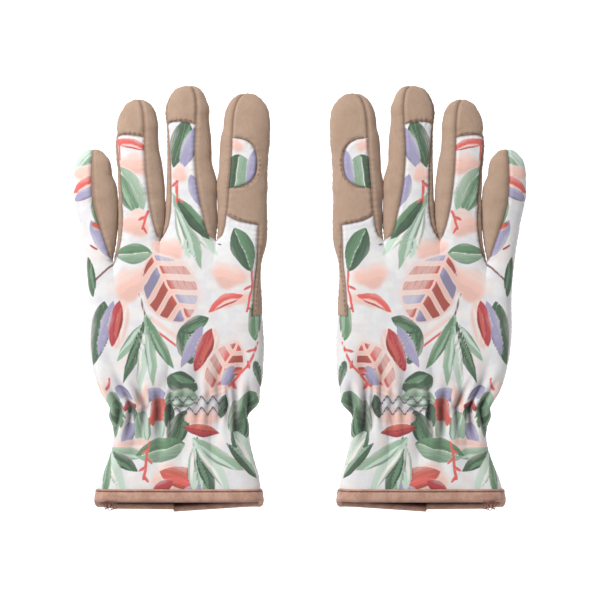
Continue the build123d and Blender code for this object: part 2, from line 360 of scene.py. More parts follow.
window_phi = phi_of("index", window_u)


def fixed(value):
    return lambda z: np.full_like(np.asarray(z, float), value)


def palm_seam(crotch, left=False):
    """Section angle of a finger's side seam on the palm, which starts at the crotch."""
    def at(z):
        turn = 0.584 * smooth((z - crotch) / 15)
        return pi + turn if left else -turn
    return at


hem_front = 7.3            # height of the binding's lowest edge on the back of the cuff
tape_height = 7.3
lap_u = -4.0               # where the binding's ends lap over each other on the palm side


def hem_low(strip, phi, side):
    """Height of the lowest edge of the binding round the hem."""
    left_at, right_at, *_ = strips[strip]
    left, right = left_at(0.0), right_at(0.0)
    share = signed_power(np.cos(phi), 2 / section_power)
    u = (left + right) / 2 + (right - left) / 2 * share
    palm = np.where(u < lap_u, np.interp(u, [-48, -36, lap_u], [3.6, 1.9, 1.5]),
                    np.interp(u, [lap_u, 46], [0.15, 3.5]) + 1.35 * (1 - smooth((u - lap_u) / 0.8)))
    outer = {"little": share < 0, "index": share > 0}.get(strip, np.zeros_like(share, bool))
    turn = np.where(outer, np.sin(phi), side)
    return palm + (hem_front - palm) * smooth((turn + 0.35) / 0.6)


cuff_top = 30.0


def cuff_height(strip, phi, z, side):
    """Rows below the top of the cuff are spread over its height, which varies round the hem."""
    low = hem_low(strip, phi, side) + tape_height - 2
    return np.where(z < cuff_top, low + z * (cuff_top - low) / cuff_top, z)


def cap_line(finger, share):
    return cap_z[finger] + cap_arch * (1 - (2 * share - 1) ** 2)


def bridge_line(share):
    return bridge_left + (bridge_right - bridge_left) * share - 1.2 * np.sin(pi * share)


seams = []                 # for every seam: base points, their strengths and how far along it they are
seam_width = 0.62          # half width of the shade painted into a seam's groove


def add_seam(strip, phi_at, low, high, crotch=None, side=1, strength=1.0):
    z = np.arange(low, high, 0.25)
    points, _ = base_surface(strip, phi_at(z), z, side)
    fade = over_crotch(z, crotch) if crotch is not None else np.ones_like(z)
    seams.append((points, strength * fade, z))


def add_cross_seam(strip, left_phi, right_phi, z_at, side=1, strength=1.0):
    share = np.linspace(0, 1, 160)
    z = z_at(share)
    phi = left_phi(z) + (right_phi(z) - left_phi(z)) * share
    points, _ = base_surface(strip, phi, z, side)
    seams.append((points, strength + 0 * z, points[:, 0]))


add_seam("little", fixed(pi + print_turn), 10, tip_z["little"])
add_seam("little", fixed(pi + side_turn), 8, crotch_low, side=-1)
add_seam("index", fixed(-print_turn), 10, wrap_low)
add_cross_seam("index", wrap_phi, fixed(-print_turn), lambda share: wrap_low + 0 * share, strength=0.5)
add_seam("index", wrap_phi, wrap_low, bridge_right)
add_seam("index", fixed(-side_turn), 8, tip_z["index"], side=-1)
for strip, phi_at, crotch in (
        ("little", little_seam_phi, crotch_low), ("ring", ring_outer_phi, crotch_low),
        ("ring", ring_inner_phi, crotch_high), ("middle", middle_outer_phi, crotch_high),
        ("middle", middle_inner_phi, crotch_high), ("index", index_phi, crotch_high)):
    add_seam(strip, phi_at, crotch, tip_z[strip], crotch)
for strip, crotch, left in (
        ("little", crotch_low, False), ("ring", crotch_low, True), ("ring", crotch_high, False),
        ("middle", crotch_high, True), ("middle", crotch_high, False), ("index", crotch_high, True)):
    add_seam(strip, palm_seam(crotch, left), crotch, tip_z[strip], crotch, side=-1)
add_cross_seam("ring", ring_outer_phi, ring_inner_phi, lambda share: cap_line("ring", share))
add_cross_seam("middle", middle_outer_phi, middle_inner_phi, lambda share: cap_line("middle", share))
add_cross_seam("index", index_phi, wrap_phi, bridge_line)
add_seam("index", window_phi, window_low, window_high)

seam_points = np.concatenate([points for points, *_ in seams])
seam_strength = np.concatenate([strength for _, strength, _ in seams])
seam_along = np.concatenate([along for *_, along in seams])
seam_tree = KDTree(len(seam_points))
for number, point in enumerate(seam_points):
    seam_tree.insert(point, number)
seam_tree.balance()


def seam_profile(distance):
    """How the cloth dips into a seam and swells beside it."""
    return -0.72 * bell(distance, 0.9) + 0.20 * bell(distance - 2.2, 1.3)


def seam_dip(base):
    """How far the cloth dips and puckers at base points near a seam, and how much shade is painted into its
    groove there.
    """
    flat = base.reshape(-1, 3)
    found = [seam_tree.find(point)[1:] for point in flat]
    nearest = np.array([number for number, _ in found])
    distance = np.array([gap for _, gap in found])
    strength, along = seam_strength[nearest], seam_along[nearest]
    ripple = np.sin(2 * pi * along / 3.3 + 1.6 * np.sin(along / 2.1))
    pucker = 0.15 * ripple * bell(distance - 1.4, 1.4)
    # shade painted into the seam's groove
    groove = strength * bell(distance, seam_width)
    dip = strength * (seam_profile(distance) + pucker)
    return dip.reshape(base.shape[:-1]), groove.reshape(base.shape[:-1])


def quads_of(cells):
    """Quads between neighbouring numbers in a grid of point numbers."""
    return np.stack([cells[:-1, :-1], cells[:-1, 1:], cells[1:, 1:], cells[1:, :-1]], -1).reshape(-1, 4)


class Grid:
    """A panel: rows of points from bottom to top, and columns in order of falling section angle."""

    def __init__(self, segments, z, side=1, cuff=False):
        """segments: (strip, first phi, last phi, columns); z: a height for each row, or two for its ends."""
        z = np.asarray(z, float)
        total = sum(count for *_, count in segments) + 1
        heights = np.repeat(z[:, None], total, 1) if z.ndim == 1 else self.spread(z, total)
        points, outward, done = [], [], 0
        for number, (strip, first, last, count) in enumerate(segments):
            share = np.linspace(0, 1, count + 1)[(1 if number else 0):]
            level = heights[:, done:done + len(share)]
            phi = first(level) + (last(level) - first(level)) * share
            if cuff:
                level = cuff_height(strip, phi, level, side)
                heights[:, done:done + len(share)] = level
            base, direction = base_surface(strip, phi, level, side)
            points.append(base)
            outward.append(direction)
            done += len(share)
        self.base, self.outward = np.concatenate(points, 1), np.concatenate(outward, 1)
        dip, groove = seam_dip(self.base)
        self.points = self.base + self.outward * (folds(self.base) + dip)[..., None]
        # painted shade: the seam groove's or the folds' shade, whichever is deeper
        self.painted_shade = np.maximum(groove, shaded(self.base))

    @staticmethod
    def spread(z, total):
        """Rows whose heights vary across, spread over the columns."""
        places = np.linspace(0, 1, z.shape[1])
        return np.stack([np.interp(np.linspace(0, 1, total), places, row) for row in z])

    def faces(self, start=0):
        """Quads, counter-clockwise from outside."""
        return quads_of(np.arange(self.painted_shade.size).reshape(self.painted_shade.shape) + start)


grain = 0.62               # how far apart (mm) the rows of points lie


def rows(low, high):
    """Heights from low to high, about a grain apart."""
    return np.linspace(low, high, max(2, int(round((high - low) / grain)) + 1))


def tip_rows(strip, low):
    """Heights from low up to the tip, closer together where the tip rounds off."""
    shoulder, top = shoulder_z[strip], tip_z[strip]
    below = rows(low, shoulder) if low < shoulder - 0.7 else np.array([low])
    turn = np.linspace(0, pi / 2, 24)[1:]
    return np.concatenate([below, below[-1] + (top - below[-1]) * np.sin(turn)])


def chain(*stretches):
    """Rows one after another, without repeating the height where two stretches meet."""
    return np.concatenate([stretches[0]] + [stretch[1:] for stretch in stretches[1:]])


def vertex_keys(points):
    """One whole number for each point, the same for points at the same place."""
    cells = np.round(points.reshape(-1, 3) * 2000).astype(np.int64) + (1 << 20)
    return (cells[:, 0] << 42) | (cells[:, 1] << 21) | cells[:, 2]


def joined(grids):
    """Points and faces of several grids, and the number of each one's first point."""
    points = np.concatenate([grid.points.reshape(-1, 3) for grid in grids])
    starts = np.cumsum([0] + [grid.painted_shade.size for grid in grids])
    return points, np.concatenate([grid.faces(start) for grid, start in zip(grids, starts)]), starts


def shared_normals(grids):
    """Gives every grid the normals of the whole welded surface, so that shading runs on across pieces."""
    points, faces, starts = joined(grids)
    keys, index = np.unique(vertex_keys(points), return_inverse=True)
    corner = points[faces]
    normal = np.cross(corner[:, 2] - corner[:, 0], corner[:, 3] - corner[:, 1])
    total = np.zeros((len(keys), 3))
    for k in range(4):
        for axis in range(3):
            total[:, axis] += np.bincount(index[faces[:, k]], normal[:, axis], len(keys))
    total /= -np.maximum(np.linalg.norm(total, axis=1, keepdims=True), 1e-12)    # depth points along -Y
    for grid, start, end in zip(grids, starts, starts[1:]):
        grid.normal = total[index[start:end]].reshape(grid.points.shape)


# ---------------------------------------------------------------- panels of the left glove
cloth_columns = {"little": 32, "ring": 42, "middle": 48, "index": 38}
palm_columns = {"little": 17, "ring": 25, "middle": 29, "index": 26}
zero, half_turn = fixed(0.0), fixed(pi)
hand_rows = chain(rows(0, cuff_top), rows(cuff_top, wrap_low))
hand_mid_rows = rows(wrap_low, crotch_low)
hand_high_rows = rows(crotch_low, crotch_high)
ring_rows = chain(rows(crotch_high, cap_z["ring"]), tip_rows("ring", cap_z["ring"]))
middle_rows = chain(rows(crotch_high, cap_z["middle"]), tip_rows("middle", cap_z["middle"]))
little_rows = tip_rows("little", crotch_low)
n_back, n_bridge = 24, 32
index_left_rows, index_right_rows = (
    chain(np.linspace(crotch_high, bridge, n_back), np.linspace(bridge, window_low, n_bridge),
          rows(window_low, window_high), tip_rows("index", window_high))
    for bridge in (bridge_left, bridge_right))


def arched(z, share_count, line, rising):
    """Rows whose last (rising) or first row follows an arched line and whose other end is level."""
    places = np.linspace(0, 1, share_count)
    t = (z - z[0]) / (z[-1] - z[0])
    weight = smooth(1 - (1 - t) * 1.6) if rising else (1 - t) ** 3
    offset = line(places) - (z[-1] if rising else z[0])
    return z[:, None] + weight[:, None] * offset


def front(strip, first, last, count=None):
    return (strip, first, last, count or cloth_columns[strip])


def palm(strip, first, last):
    return (strip, first, last, palm_columns[strip])


def outer_palm_seam(crotch):
    """The side seam away from the thumb, as a section angle that goes on round from the palm."""
    return lambda z: palm_seam(crotch, True)(z) - 2 * pi


edge_out, edge_in = fixed(pi + print_turn), fixed(pi + side_turn)
side_palm, thumb_print = fixed(-side_turn), fixed(-print_turn)
left_edge = fixed(-pi)
outer_strip = [("little", edge_in, edge_out, 4)]
turned_edge, thumb_strip = [("index", wrap_phi, thumb_print, 8)], [("index", thumb_print, side_palm, 4)]
middle_to_thumb = [front("middle", half_turn, zero), front("index", half_turn, wrap_phi)]
whole_back = [front("little", edge_out, zero), front("ring", half_turn, zero)] + middle_to_thumb
panels = {}
panels["back_panel"] = [
    Grid(whole_back + turned_edge, hand_rows, cuff=True),
    Grid(whole_back, hand_mid_rows),
    Grid([front("ring", ring_outer_phi, zero)] + middle_to_thumb, hand_high_rows)]
panels["outer_side"] = [Grid(outer_strip, hand_rows, cuff=True), Grid(outer_strip, hand_mid_rows)]
panels["thumb_side"] = [
    Grid(thumb_strip, hand_rows, cuff=True),
    Grid(turned_edge + thumb_strip, hand_mid_rows),
    Grid(turned_edge + thumb_strip, hand_high_rows)]
thumb_to_middle = [palm("index", side_palm, left_edge), palm("middle", zero, left_edge)]
panels["palm_panel"] = [
    Grid(thumb_to_middle + [palm("ring", zero, left_edge), palm("little", zero, fixed(side_turn - pi))],
         chosen, -1, cuff)
    for chosen, cuff in ((hand_rows, True), (hand_mid_rows, False))] + [
    Grid(thumb_to_middle + [palm("ring", zero, outer_palm_seam(crotch_low))], hand_high_rows, -1)]

# fingers
panels["little_back"] = [Grid([front("little", edge_out, little_seam_phi)], little_rows)]
panels["little_fourchette"] = [Grid([("little", little_seam_phi, palm_seam(crotch_low), 16)], little_rows)]
panels["little_palm"] = [
    Grid(outer_strip, little_rows, -1),
    Grid([palm("little", palm_seam(crotch_low), fixed(side_turn - pi))], little_rows, -1)]
for finger, z_rows, outer_phi, inner_phi, outer_crotch in (
        ("ring", ring_rows, ring_outer_phi, ring_inner_phi, crotch_low),
        ("middle", middle_rows, middle_outer_phi, middle_inner_phi, crotch_high)):
    below = rows(crotch_high, cap_z[finger])
    above = tip_rows(finger, cap_z[finger])
    places = cloth_columns[finger] + 1
    line = lambda share, finger=finger: cap_line(finger, share)
    across = [front(finger, outer_phi, inner_phi)]
    panels[finger + "_back"] = [Grid(across, arched(below, places, line, True))]
    panels[finger + "_cap"] = [Grid(across, arched(above, places, line, False))]
    outer = chain(hand_high_rows, z_rows) if finger == "ring" else z_rows
    panels[finger + "_outer_fourchette"] = [
        Grid([(finger, palm_seam(outer_crotch, True), outer_phi, 14)], outer)]
    panels[finger + "_inner_fourchette"] = [Grid([(finger, inner_phi, palm_seam(crotch_high), 16)], z_rows)]
    panels[finger + "_palm"] = [
        Grid([palm(finger, palm_seam(crotch_high), outer_palm_seam(outer_crotch))], z_rows, -1)]

share = np.linspace(0, 1, cloth_columns["index"] + 1)
t = np.linspace(0, 1, n_back)[:, None]
index_back_rows = crotch_high + (bridge_line(share) - crotch_high) * t
t = np.linspace(0, 1, n_bridge)[:, None]
bridge_rows = bridge_line(share) * (1 - t) + window_low * t
window_rows, wrap_tip_rows = rows(window_low, window_high), tip_rows("index", window_high)
panels["index_back"] = [Grid([front("index", index_phi, wrap_phi)], index_back_rows)]
panels["index_window"] = [Grid([front("index", index_phi, window_phi)], window_rows)]
panels["index_wrap"] = [
    Grid([front("index", index_phi, wrap_phi)], bridge_rows),
    Grid([front("index", window_phi, wrap_phi, 16)], window_rows),
    Grid([front("index", index_phi, wrap_phi)], wrap_tip_rows),
    Grid(turned_edge + thumb_strip, index_right_rows)]
panels["index_fourchette"] = [
    Grid([("index", palm_seam(crotch_high, True), index_phi, 14)], index_left_rows)]
panels["index_palm"] = [
    Grid([palm("index", side_palm, outer_palm_seam(crotch_high))],
         np.stack([index_right_rows, index_left_rows], 1), -1)]
shared_normals([grid for grids in panels.values() for grid in grids])

# name: its body (the cuff or a finger), the CAD nodes it stands for, slot
piece_facts = {
    "back_panel": ("cuff", ["back_panel", "cuff_back"], "print_fabric"),
    "outer_side": ("cuff", ["outer_side"], "suede"),
    "thumb_side": ("cuff", ["thumb_side"], "suede"),
    "palm_panel": ("cuff", ["palm_panel", "cuff_palm"], "suede"),
}
for name in panels:
    if name not in piece_facts:
        slot = "print_fabric" if name.endswith("_back") or name == "index_window" else "suede"
        piece_facts[name] = (name.split("_")[0], [name], slot)
cloth_thickness = 0.7
knuckle_reach = 17         # a length (mm) from a finger's root; no piece is bent over it


def mesh_object(name, points, faces, sign=1, normals=None, attributes=None):
    """Mesh in metres from points in the left glove's axes; sign -1 makes the right glove's."""
    xyz = np.stack([sign * (points[:, 0] + cuff_x), mid_y - points[:, 1], points[:, 2]], 1) * MM
    order = faces if sign == 1 else [face[::-1] for face in faces]
    mesh = bpy.data.meshes.new(name)
    mesh.from_pydata(xyz.tolist(), [], order)
    mesh.polygons.foreach_set("use_smooth", np.ones(len(mesh.polygons), bool))
    if normals is not None:
        flipped = np.stack([sign * normals[:, 0], -normals[:, 1], normals[:, 2]], 1)
        loop_vertex = np.zeros(len(mesh.loops), np.int32)
        mesh.loops.foreach_get("vertex_index", loop_vertex)
        mesh.normals_split_custom_set(flipped[loop_vertex].tolist())
    for key, values in (attributes or {}).items():
        kind = "FLOAT_VECTOR" if values.ndim == 2 else "FLOAT"
        attribute = mesh.attributes.new(key, kind, "POINT")
        field = "vector" if values.ndim == 2 else "value"
        attribute.data.foreach_set(field, values.astype(np.float32).ravel())
    obj = bpy.data.objects.new(name, mesh)
    bpy.context.scene.collection.objects.link(obj)
    return obj


def closed_cloth(grids):
    """A panel as closed cloth: points, faces, normals, base points with the shade painted at each, outer face
    count.
    """
    points, faces, _ = joined(grids)
    base = np.concatenate([np.dstack([grid.base, grid.painted_shade]).reshape(-1, 4) for grid in grids])
    normal = np.concatenate([grid.normal.reshape(-1, 3) for grid in grids])
    _, first, index = np.unique(vertex_keys(points), return_index=True, return_inverse=True)
    points, base, normal, faces = points[first], base[first], normal[first], index[faces]
    ends = np.roll(faces, -1, axis=1)
    real = faces != ends
    count = len(points)
    whole = real.all(1)
    quads = faces[whole]
    triangles = [row[keep] for row, keep in zip(faces[~whole], real[~whole]) if keep.sum() == 3]
    triangles = [face for face in triangles if len(set(face)) == 3]
    start = np.concatenate([quads.ravel()] + [face for face in triangles])
    end = np.concatenate([np.roll(quads, -1, axis=1).ravel()] + [np.roll(face, -1) for face in triangles])
    forward = start * count + end
    rim = ~np.isin(forward, end * count + start)
    rim_faces = np.stack([end[rim], start[rim], start[rim] + count, end[rim] + count], 1)
    listed = quads.tolist() + [list(map(int, face)) for face in triangles]
    inner = [[v + count for v in reversed(face)] for face in listed]
    return (np.concatenate([points, points - normal * cloth_thickness]), listed + inner + rim_faces.tolist(),
            np.concatenate([normal, -normal]), np.concatenate([base, base]), len(listed))


# ---------------------------------------------------------------- leaf print
colours = ["pale", "blush", "terracotta", "red", "coral", "lilac", "sage", "mint", "mid_green", "dark_green",
           "twig"]
lighter = {"dark_green": "mid_green", "mid_green": "sage", "sage": "mint", "mint": "pale",
           "red": "terracotta", "terracotta": "coral", "coral": "blush", "blush": "pale",
           "lilac": "lilac", "pale": "pale", "twig": "twig"}
overlap = 0.22             # how far (mm) a colour runs on under the edge of the next, so no ground shows


class Print:
    """How far inside each colour of the print every point lies, in mm, and where it lies along its leaf."""

    def __init__(self, base):
        lean = np.clip((back_depth_at(base[:, 2]) * 0.93 - base[:, 1]), 0, 20)
        side = np.where(base[:, 0] > 0, 1, -1) * smooth((np.abs(base[:, 0]) - 30) / 12)
        u = base[:, 0] + 0.6 * side * lean
        z = base[:, 2]
        flat = np.stack([u, z, 0 * z], -1)
        phase, hold = pleats(base)
        self.u = u + 0.5 * noise(flat, 6.5, 21) + 0.14 * noise(flat, 2.4, 22) + 1.3 * hold * np.sin(phase)
        self.z = z + 0.5 * noise(flat, 6.5, 23) + 0.14 * noise(flat, 2.4, 24) + 1.2 * hold * np.cos(phase)
        self.inside = {colour: np.full(len(u), -4.0) for colour in colours}
        self.brush = np.stack([z, u, 0 * z + 0.5], -1)

    def local(self, u, z, angle):
        """Coordinates along and across a leaf whose middle is at (u, z)."""
        c, s = math.cos(math.radians(angle)), math.sin(math.radians(angle))
        along = (self.u - u) * c + (self.z - z) * s
        return along, (self.z - z) * c - (self.u - u) * s

    @staticmethod
    def lens(along, across, length, width):
        """Signed distance to a leaf-shaped outline."""
        radius = (length ** 2 + width ** 2) / (4 * width)
        rise = radius - width / 2
        return np.hypot(along, np.abs(across) + rise) - radius

    def paint(self, colour, distance, along, across, width=8.0):
        """Lays one colour over the others wherever distance is negative."""
        for other in colours:
            if other != colour:
                self.inside[other] = np.minimum(self.inside[other], distance + overlap)
        self.inside[colour] = np.maximum(self.inside[colour], -distance)
        inside = distance < 0.3
        shade = np.clip(0.5 + across / width, 0, 1)
        self.brush[inside] = np.stack([along, across, shade], -1)[inside]

    def leaf(self, colour, u, z, length, width, angle, second=None, curl=0.0):
        """A leaf; second paints its left half, looking along it, in another colour."""
        length, width = 1.06 * length, 1.12 * width
        along, across = self.local(u, z, angle)
        across = across - curl * (along / length) ** 2 * width
        outline = self.lens(along * (1 + 0.12 * np.sign(along)), across, length, width)
        self.paint(colour, outline, along, across, width)
        if second:
            self.paint(second, np.maximum(outline, 0.1 - across), along, across - width / 4, width / 1.6)
        elif length > 15 and width > 5:
            glow = self.lens(along + 0.03 * length, across + 0.2 * width, 0.8 * length, 0.3 * width)
            self.paint(lighter[colour], np.maximum(glow, outline), along, across + 0.2 * width, 0.5 * width)
        if length > 19 and width > 8:
            rib = np.maximum(np.abs(across - 0.02 * along) - 0.46, np.abs(along + 1) - 0.42 * length)
            shade = lighter[lighter[colour]] if second else lighter[colour]
            self.paint(shade, np.maximum(rib, outline), along, across)

    def striped(self, u, z, length, width, angle, spacing, shades):
        """A broad pale leaf with bold slanting stripes either side of its midrib."""
        along, across = self.local(u, z, angle)
        outline = self.lens(along * (1 + 0.1 * np.sign(along)), across, length, width)
        self.paint("blush", outline, along, across)
        slant = (along - 0.6 * np.abs(across)) / spacing
        band = (0.31 - np.abs(slant % 1 - 0.5)) * spacing * 0.86
        edge = np.maximum(outline + 0.9, 0.7 - np.abs(across))
        for number, shade in enumerate(shades):
            turn = (np.floor(slant) + (across > 0)) % 3
            chosen = turn == 1 if number else turn != 1
            self.paint(shade, np.where(chosen, np.maximum(edge, -band), 2.0), along, across)

    def fan(self, shades, u, z, tips, width=4.0):
        """Slender leaves from one point to several tips, in turning shades."""
        for number, (tip_u, tip_z) in enumerate(tips):
            angle = math.degrees(math.atan2(tip_z - z, tip_u - u))
            length = math.hypot(tip_u - u, tip_z - z)
            self.leaf(shades[number % len(shades)], (u + tip_u) / 2, (z + tip_z) / 2, length, width, angle,
                      curl=0.5 * (-1) ** number)

    def stem(self, colour, ends, width=1.0, buds=0):
        """A thin line through points, with short side strokes."""
        for (u0, z0), (u1, z1) in zip(ends, ends[1:]):
            angle = math.degrees(math.atan2(z1 - z0, u1 - u0))
            along, across = self.local((u0 + u1) / 2, (z0 + z1) / 2, angle)
            half = math.hypot(u1 - u0, z1 - z0) / 2
            reach = np.maximum(np.abs(along) - half, 0)
            self.paint(colour, np.hypot(reach, across) - width / 2, along, across)
        for number in range(buds):
            share = (number + 0.7) / buds
            (u0, z0), (u1, z1) = ends[0], ends[-1]
            u, z = u0 + (u1 - u0) * share, z0 + (z1 - z0) * share
            heading = math.degrees(math.atan2(z1 - z0, u1 - u0)) + (48 if number % 2 else -48)
            c, s = math.cos(math.radians(heading)), math.sin(math.radians(heading))
            self.leaf(colour, u + 2.6 * c, z + 2.6 * s, 5.8, 1.5, heading)

    def cloud(self, colour, u, z, wide, tall, angle=0.0):
        """A soft-edged wash."""
        along, across = self.local(u, z, angle)
        ripple = 0.14 * np.sin(3 * np.arctan2(across, along) + u)
        distance = (np.hypot(along / (wide / 2), across / (tall / 2)) - 1 + ripple) * min(wide, tall) / 2
        self.paint(colour, distance, along, across)


def painted(base):
    """The leaf print of the left glove at base points."""
    p = Print(base)
    # the middle of the back
    p.cloud("blush", -26, 131, 24, 17, 30)
    p.cloud("blush", -5, 150, 18, 12, -20)
    p.cloud("blush", 28.5, 135, 20, 13, -10)
    p.striped(-4, 126.5, 43, 31, -62, 9.2, ["terracotta", "lilac"])
    p.leaf("dark_green", -44.3, 104.5, 35, 11, 78, curl=0.3)
    p.leaf("lilac", -40.6, 107.0, 31, 6.5, 74)
    p.leaf("blush", -33.0, 109.7, 27, 9, 82)
    p.leaf("red", -35.2, 109.7, 25, 7.0, 82)
    p.stem("coral", [(-17.0, 108), (2.0, 93.5)], 1.3)
    p.stem("blush", [(-16.0, 111.5), (5.0, 97)], 1.6)
    p.stem("twig", [(-22.5, 125), (-18.6, 114), (-17.6, 107.5)], 1.1)
    p.fan(["sage", "dark_green", "mint", "sage", "mid_green"], -17.6, 110.0,
          [(-35.5, 86), (-31.2, 73.0), (-22.5, 66.5), (-13.0, 71.5), (-2.5, 81)], 5.4)
    p.leaf("sage", -24.4, 147.6, 20, 10, 2, second="mid_green")
    p.stem("twig", [(-34.5, 147.5), (-38.5, 140.5), (-48.5, 132)], 1.1)
    p.leaf("dark_green", -51.0, 135.5, 22, 7, 100)
    p.leaf("lilac", -43.5, 156.5, 25, 9, 122)
    p.leaf("terracotta", -44.5, 163.0, 12, 4, 160)
    p.stem("red", [(-50.0, 152), (-46.2, 150)], 1.2)
    p.stem("coral", [(-38.6, 77.5), (-40.6, 69.0), (-37.4, 59.0), (-32.0, 54.0)], 1.3, 2)
    p.leaf("blush", -43.0, 66.0, 20, 8, 110)
    # towards the thumb
    p.leaf("mid_green", 36.3, 151.3, 25, 11.5, 113, second="dark_green")
    p.cloud("blush", 30.0, 121.0, 19, 7, 12)
    p.leaf("coral", 27.0, 121.6, 21, 6.0, 24, curl=-1.2)
    p.stem("coral", [(42.4, 138), (41.8, 128.0), (38.4, 115.0)], 1.4, 2)
    p.leaf("dark_green", 9.5, 107.5, 18, 8, 28)
    p.leaf("dark_green", 4.2, 96.0, 20, 9, 108)
    p.leaf("lilac", 8.6, 96.5, 26, 6.5, 62)
    p.leaf("blush", 16.6, 94.5, 24, 9.5, 66)
    p.leaf("red", 14.8, 94.5, 25, 7.5, 68)
    p.striped(26.5, 84.0, 35, 21, 63, 8.4, ["terracotta", "coral"])
    p.leaf("lilac", 28.4, 78.5, 14, 6, 58)
    p.leaf("mid_green", 44.3, 111.0, 22, 9, 88)
    p.stem("coral", [(46.0, 97.5), (40.5, 86.0), (30.0, 73.5)], 1.5, 4)
    p.leaf("dark_green", 46.5, 80.5, 16, 6, 118)
    p.leaf("dark_green", 1.6, 74.5, 17, 12, 160)
    p.leaf("sage", 2.6, 66.0, 19, 9.5, 5)
    p.leaf("lilac", -13.5, 68.5, 15, 6.5, 12)
    p.leaf("terracotta", -10.5, 60.0, 17, 9, 78)
    p.leaf("sage", -38.0, 64.0, 14, 7, 60)
    p.leaf("mid_green", -33.5, 58.5, 15, 6, 100)
    p.leaf("red", -27.5, 62.0, 10, 4, 20)
    p.leaf("lilac", -31.5, 70.0, 11, 5, 150)
    p.leaf("blush", -19.5, 66.0, 16, 6, 70)
    p.leaf("dark_green", -24.0, 55.5, 15, 5, 112)
    p.leaf("coral", -17.0, 52.5, 12, 4, 60)
    p.leaf("dark_green", -5.5, 57.0, 13, 5.5, 96)
    p.leaf("mint", -10.0, 49.0, 13, 5, 80)
    p.leaf("dark_green", 25.5, 62.0, 13, 5, 78)
    p.leaf("blush", 22.0, 70.0, 15, 5, 20)
    # up the fingers
    p.fan(["mint", "sage", "mint"], -1.0, 179.0, [(6.0, 143.0), (14.5, 138.0), (22.5, 145.0)], 7.0)
    p.leaf("dark_green", 9.2, 166.5, 29, 7.0, -52, second="mid_green")
    p.leaf("dark_green", 1.6, 212.0, 27, 11, 74)
    p.leaf("lilac", 7.4, 209.5, 25, 8.5, 68)
    p.stem("coral", [(-0.6, 195), (-1.4, 186.0), (-0.6, 177)], 1.6, 2)
    p.leaf("lilac", 9.4, 184.5, 18, 6.5, 108)
    p.cloud("blush", 0.5, 193.0, 8, 10)
    p.leaf("coral", -25.0, 209.6, 21, 4.6, -14, curl=-1.0)
    p.stem("coral", [(-34.0, 212), (-33.0, 201)], 1.2)
    p.cloud("blush", -25.0, 198.0, 19, 12)
    p.leaf("sage", -26.6, 182.4, 28, 14, -63)
    p.leaf("mid_green", -28.2, 181.0, 26, 7.5, -61)
    p.cloud("blush", -24.0, 165.0, 15, 16)
    p.stem("coral", [(-16.8, 172), (-20.5, 162)], 1.4, 2)
    p.leaf("sage", -52.5, 201.5, 19, 11, 48, second="mint")
    p.cloud("blush", -53.5, 193.5, 18, 9, 10)
    p.leaf("coral", -52.0, 187.5, 20, 6.5, 28)
    p.leaf("lilac", -52.0, 182.0, 18, 5.5, 24)
    p.leaf("mid_green", -46.4, 173.0, 15, 5.5, 96)
    p.leaf("sage", 33.0, 194.5, 20, 15, 82, second="dark_green")
    p.leaf("lilac", 42.0, 197.5, 23, 6.5, 78)
    p.cloud("blush", 32.0, 209.0, 9, 7)
    # wrist and cuff
    p.leaf("mid_green", 38.5, 57.0, 30, 17, 66)
    p.leaf("dark_green", 34.6, 51.0, 24, 9, 78)
    p.leaf("dark_green", 0.4, 49.5, 22, 10, 70)
    p.cloud("blush", 14.0, 55.0, 20, 9)
    p.leaf("red", 14.0, 47.6, 20, 6.0, -10, second="terracotta")
    p.leaf("sage", -20.5, 50.0, 18, 9.5, 96)
    p.leaf("lilac", -28.0, 46.0, 16, 5.5, 70)
    p.leaf("mid_green", -39.5, 53.5, 18, 8, 112)
    p.leaf("blush", -24.0, 39.5, 26, 6, 6)
    p.fan(["sage", "dark_green", "mint", "mid_green"], -41.0, 36.0,
          [(-18.0, 33), (-22.0, 25), (-30, 12), (-42, 10)], 6.6)
    p.leaf("sage", -8.4, 37.0, 27, 12.5, 14, second="mid_green")
    p.stem("coral", [(-16.0, 41), (-18.0, 33), (-19.6, 21)], 1.7, 4)
    p.cloud("blush", -1.5, 19.0, 30, 19)
    p.leaf("terracotta", 3.5, 20.5, 25, 11, -16)
    p.leaf("red", -8.0, 16.5, 13, 6, 30)
    p.leaf("lilac", 9.0, 14.5, 17, 6, 24)
    p.fan(["mint", "sage", "dark_green", "mint", "sage"], 10.0, 41.5,
          [(8.0, 12.0), (16.5, 9.0), (20.5, 9), (31, 12), (37.5, 24)], 6.8)
    p.leaf("dark_green", 38.5, 29.0, 27, 6.0, -46, second="sage")
    p.leaf("mint", 40.0, 36.0, 24, 8.0, -50)
    return p


# ---------------------------------------------------------------- materials
def linear(*rgb):
    """Scene colour of an sRGB colour given in 0 to 255."""
    shares = [value / 255 for value in rgb]
    return tuple(v / 12.92 if v <= 0.04045 else ((v + 0.055) / 1.055) ** 2.4 for v in shares) + (1.0,)


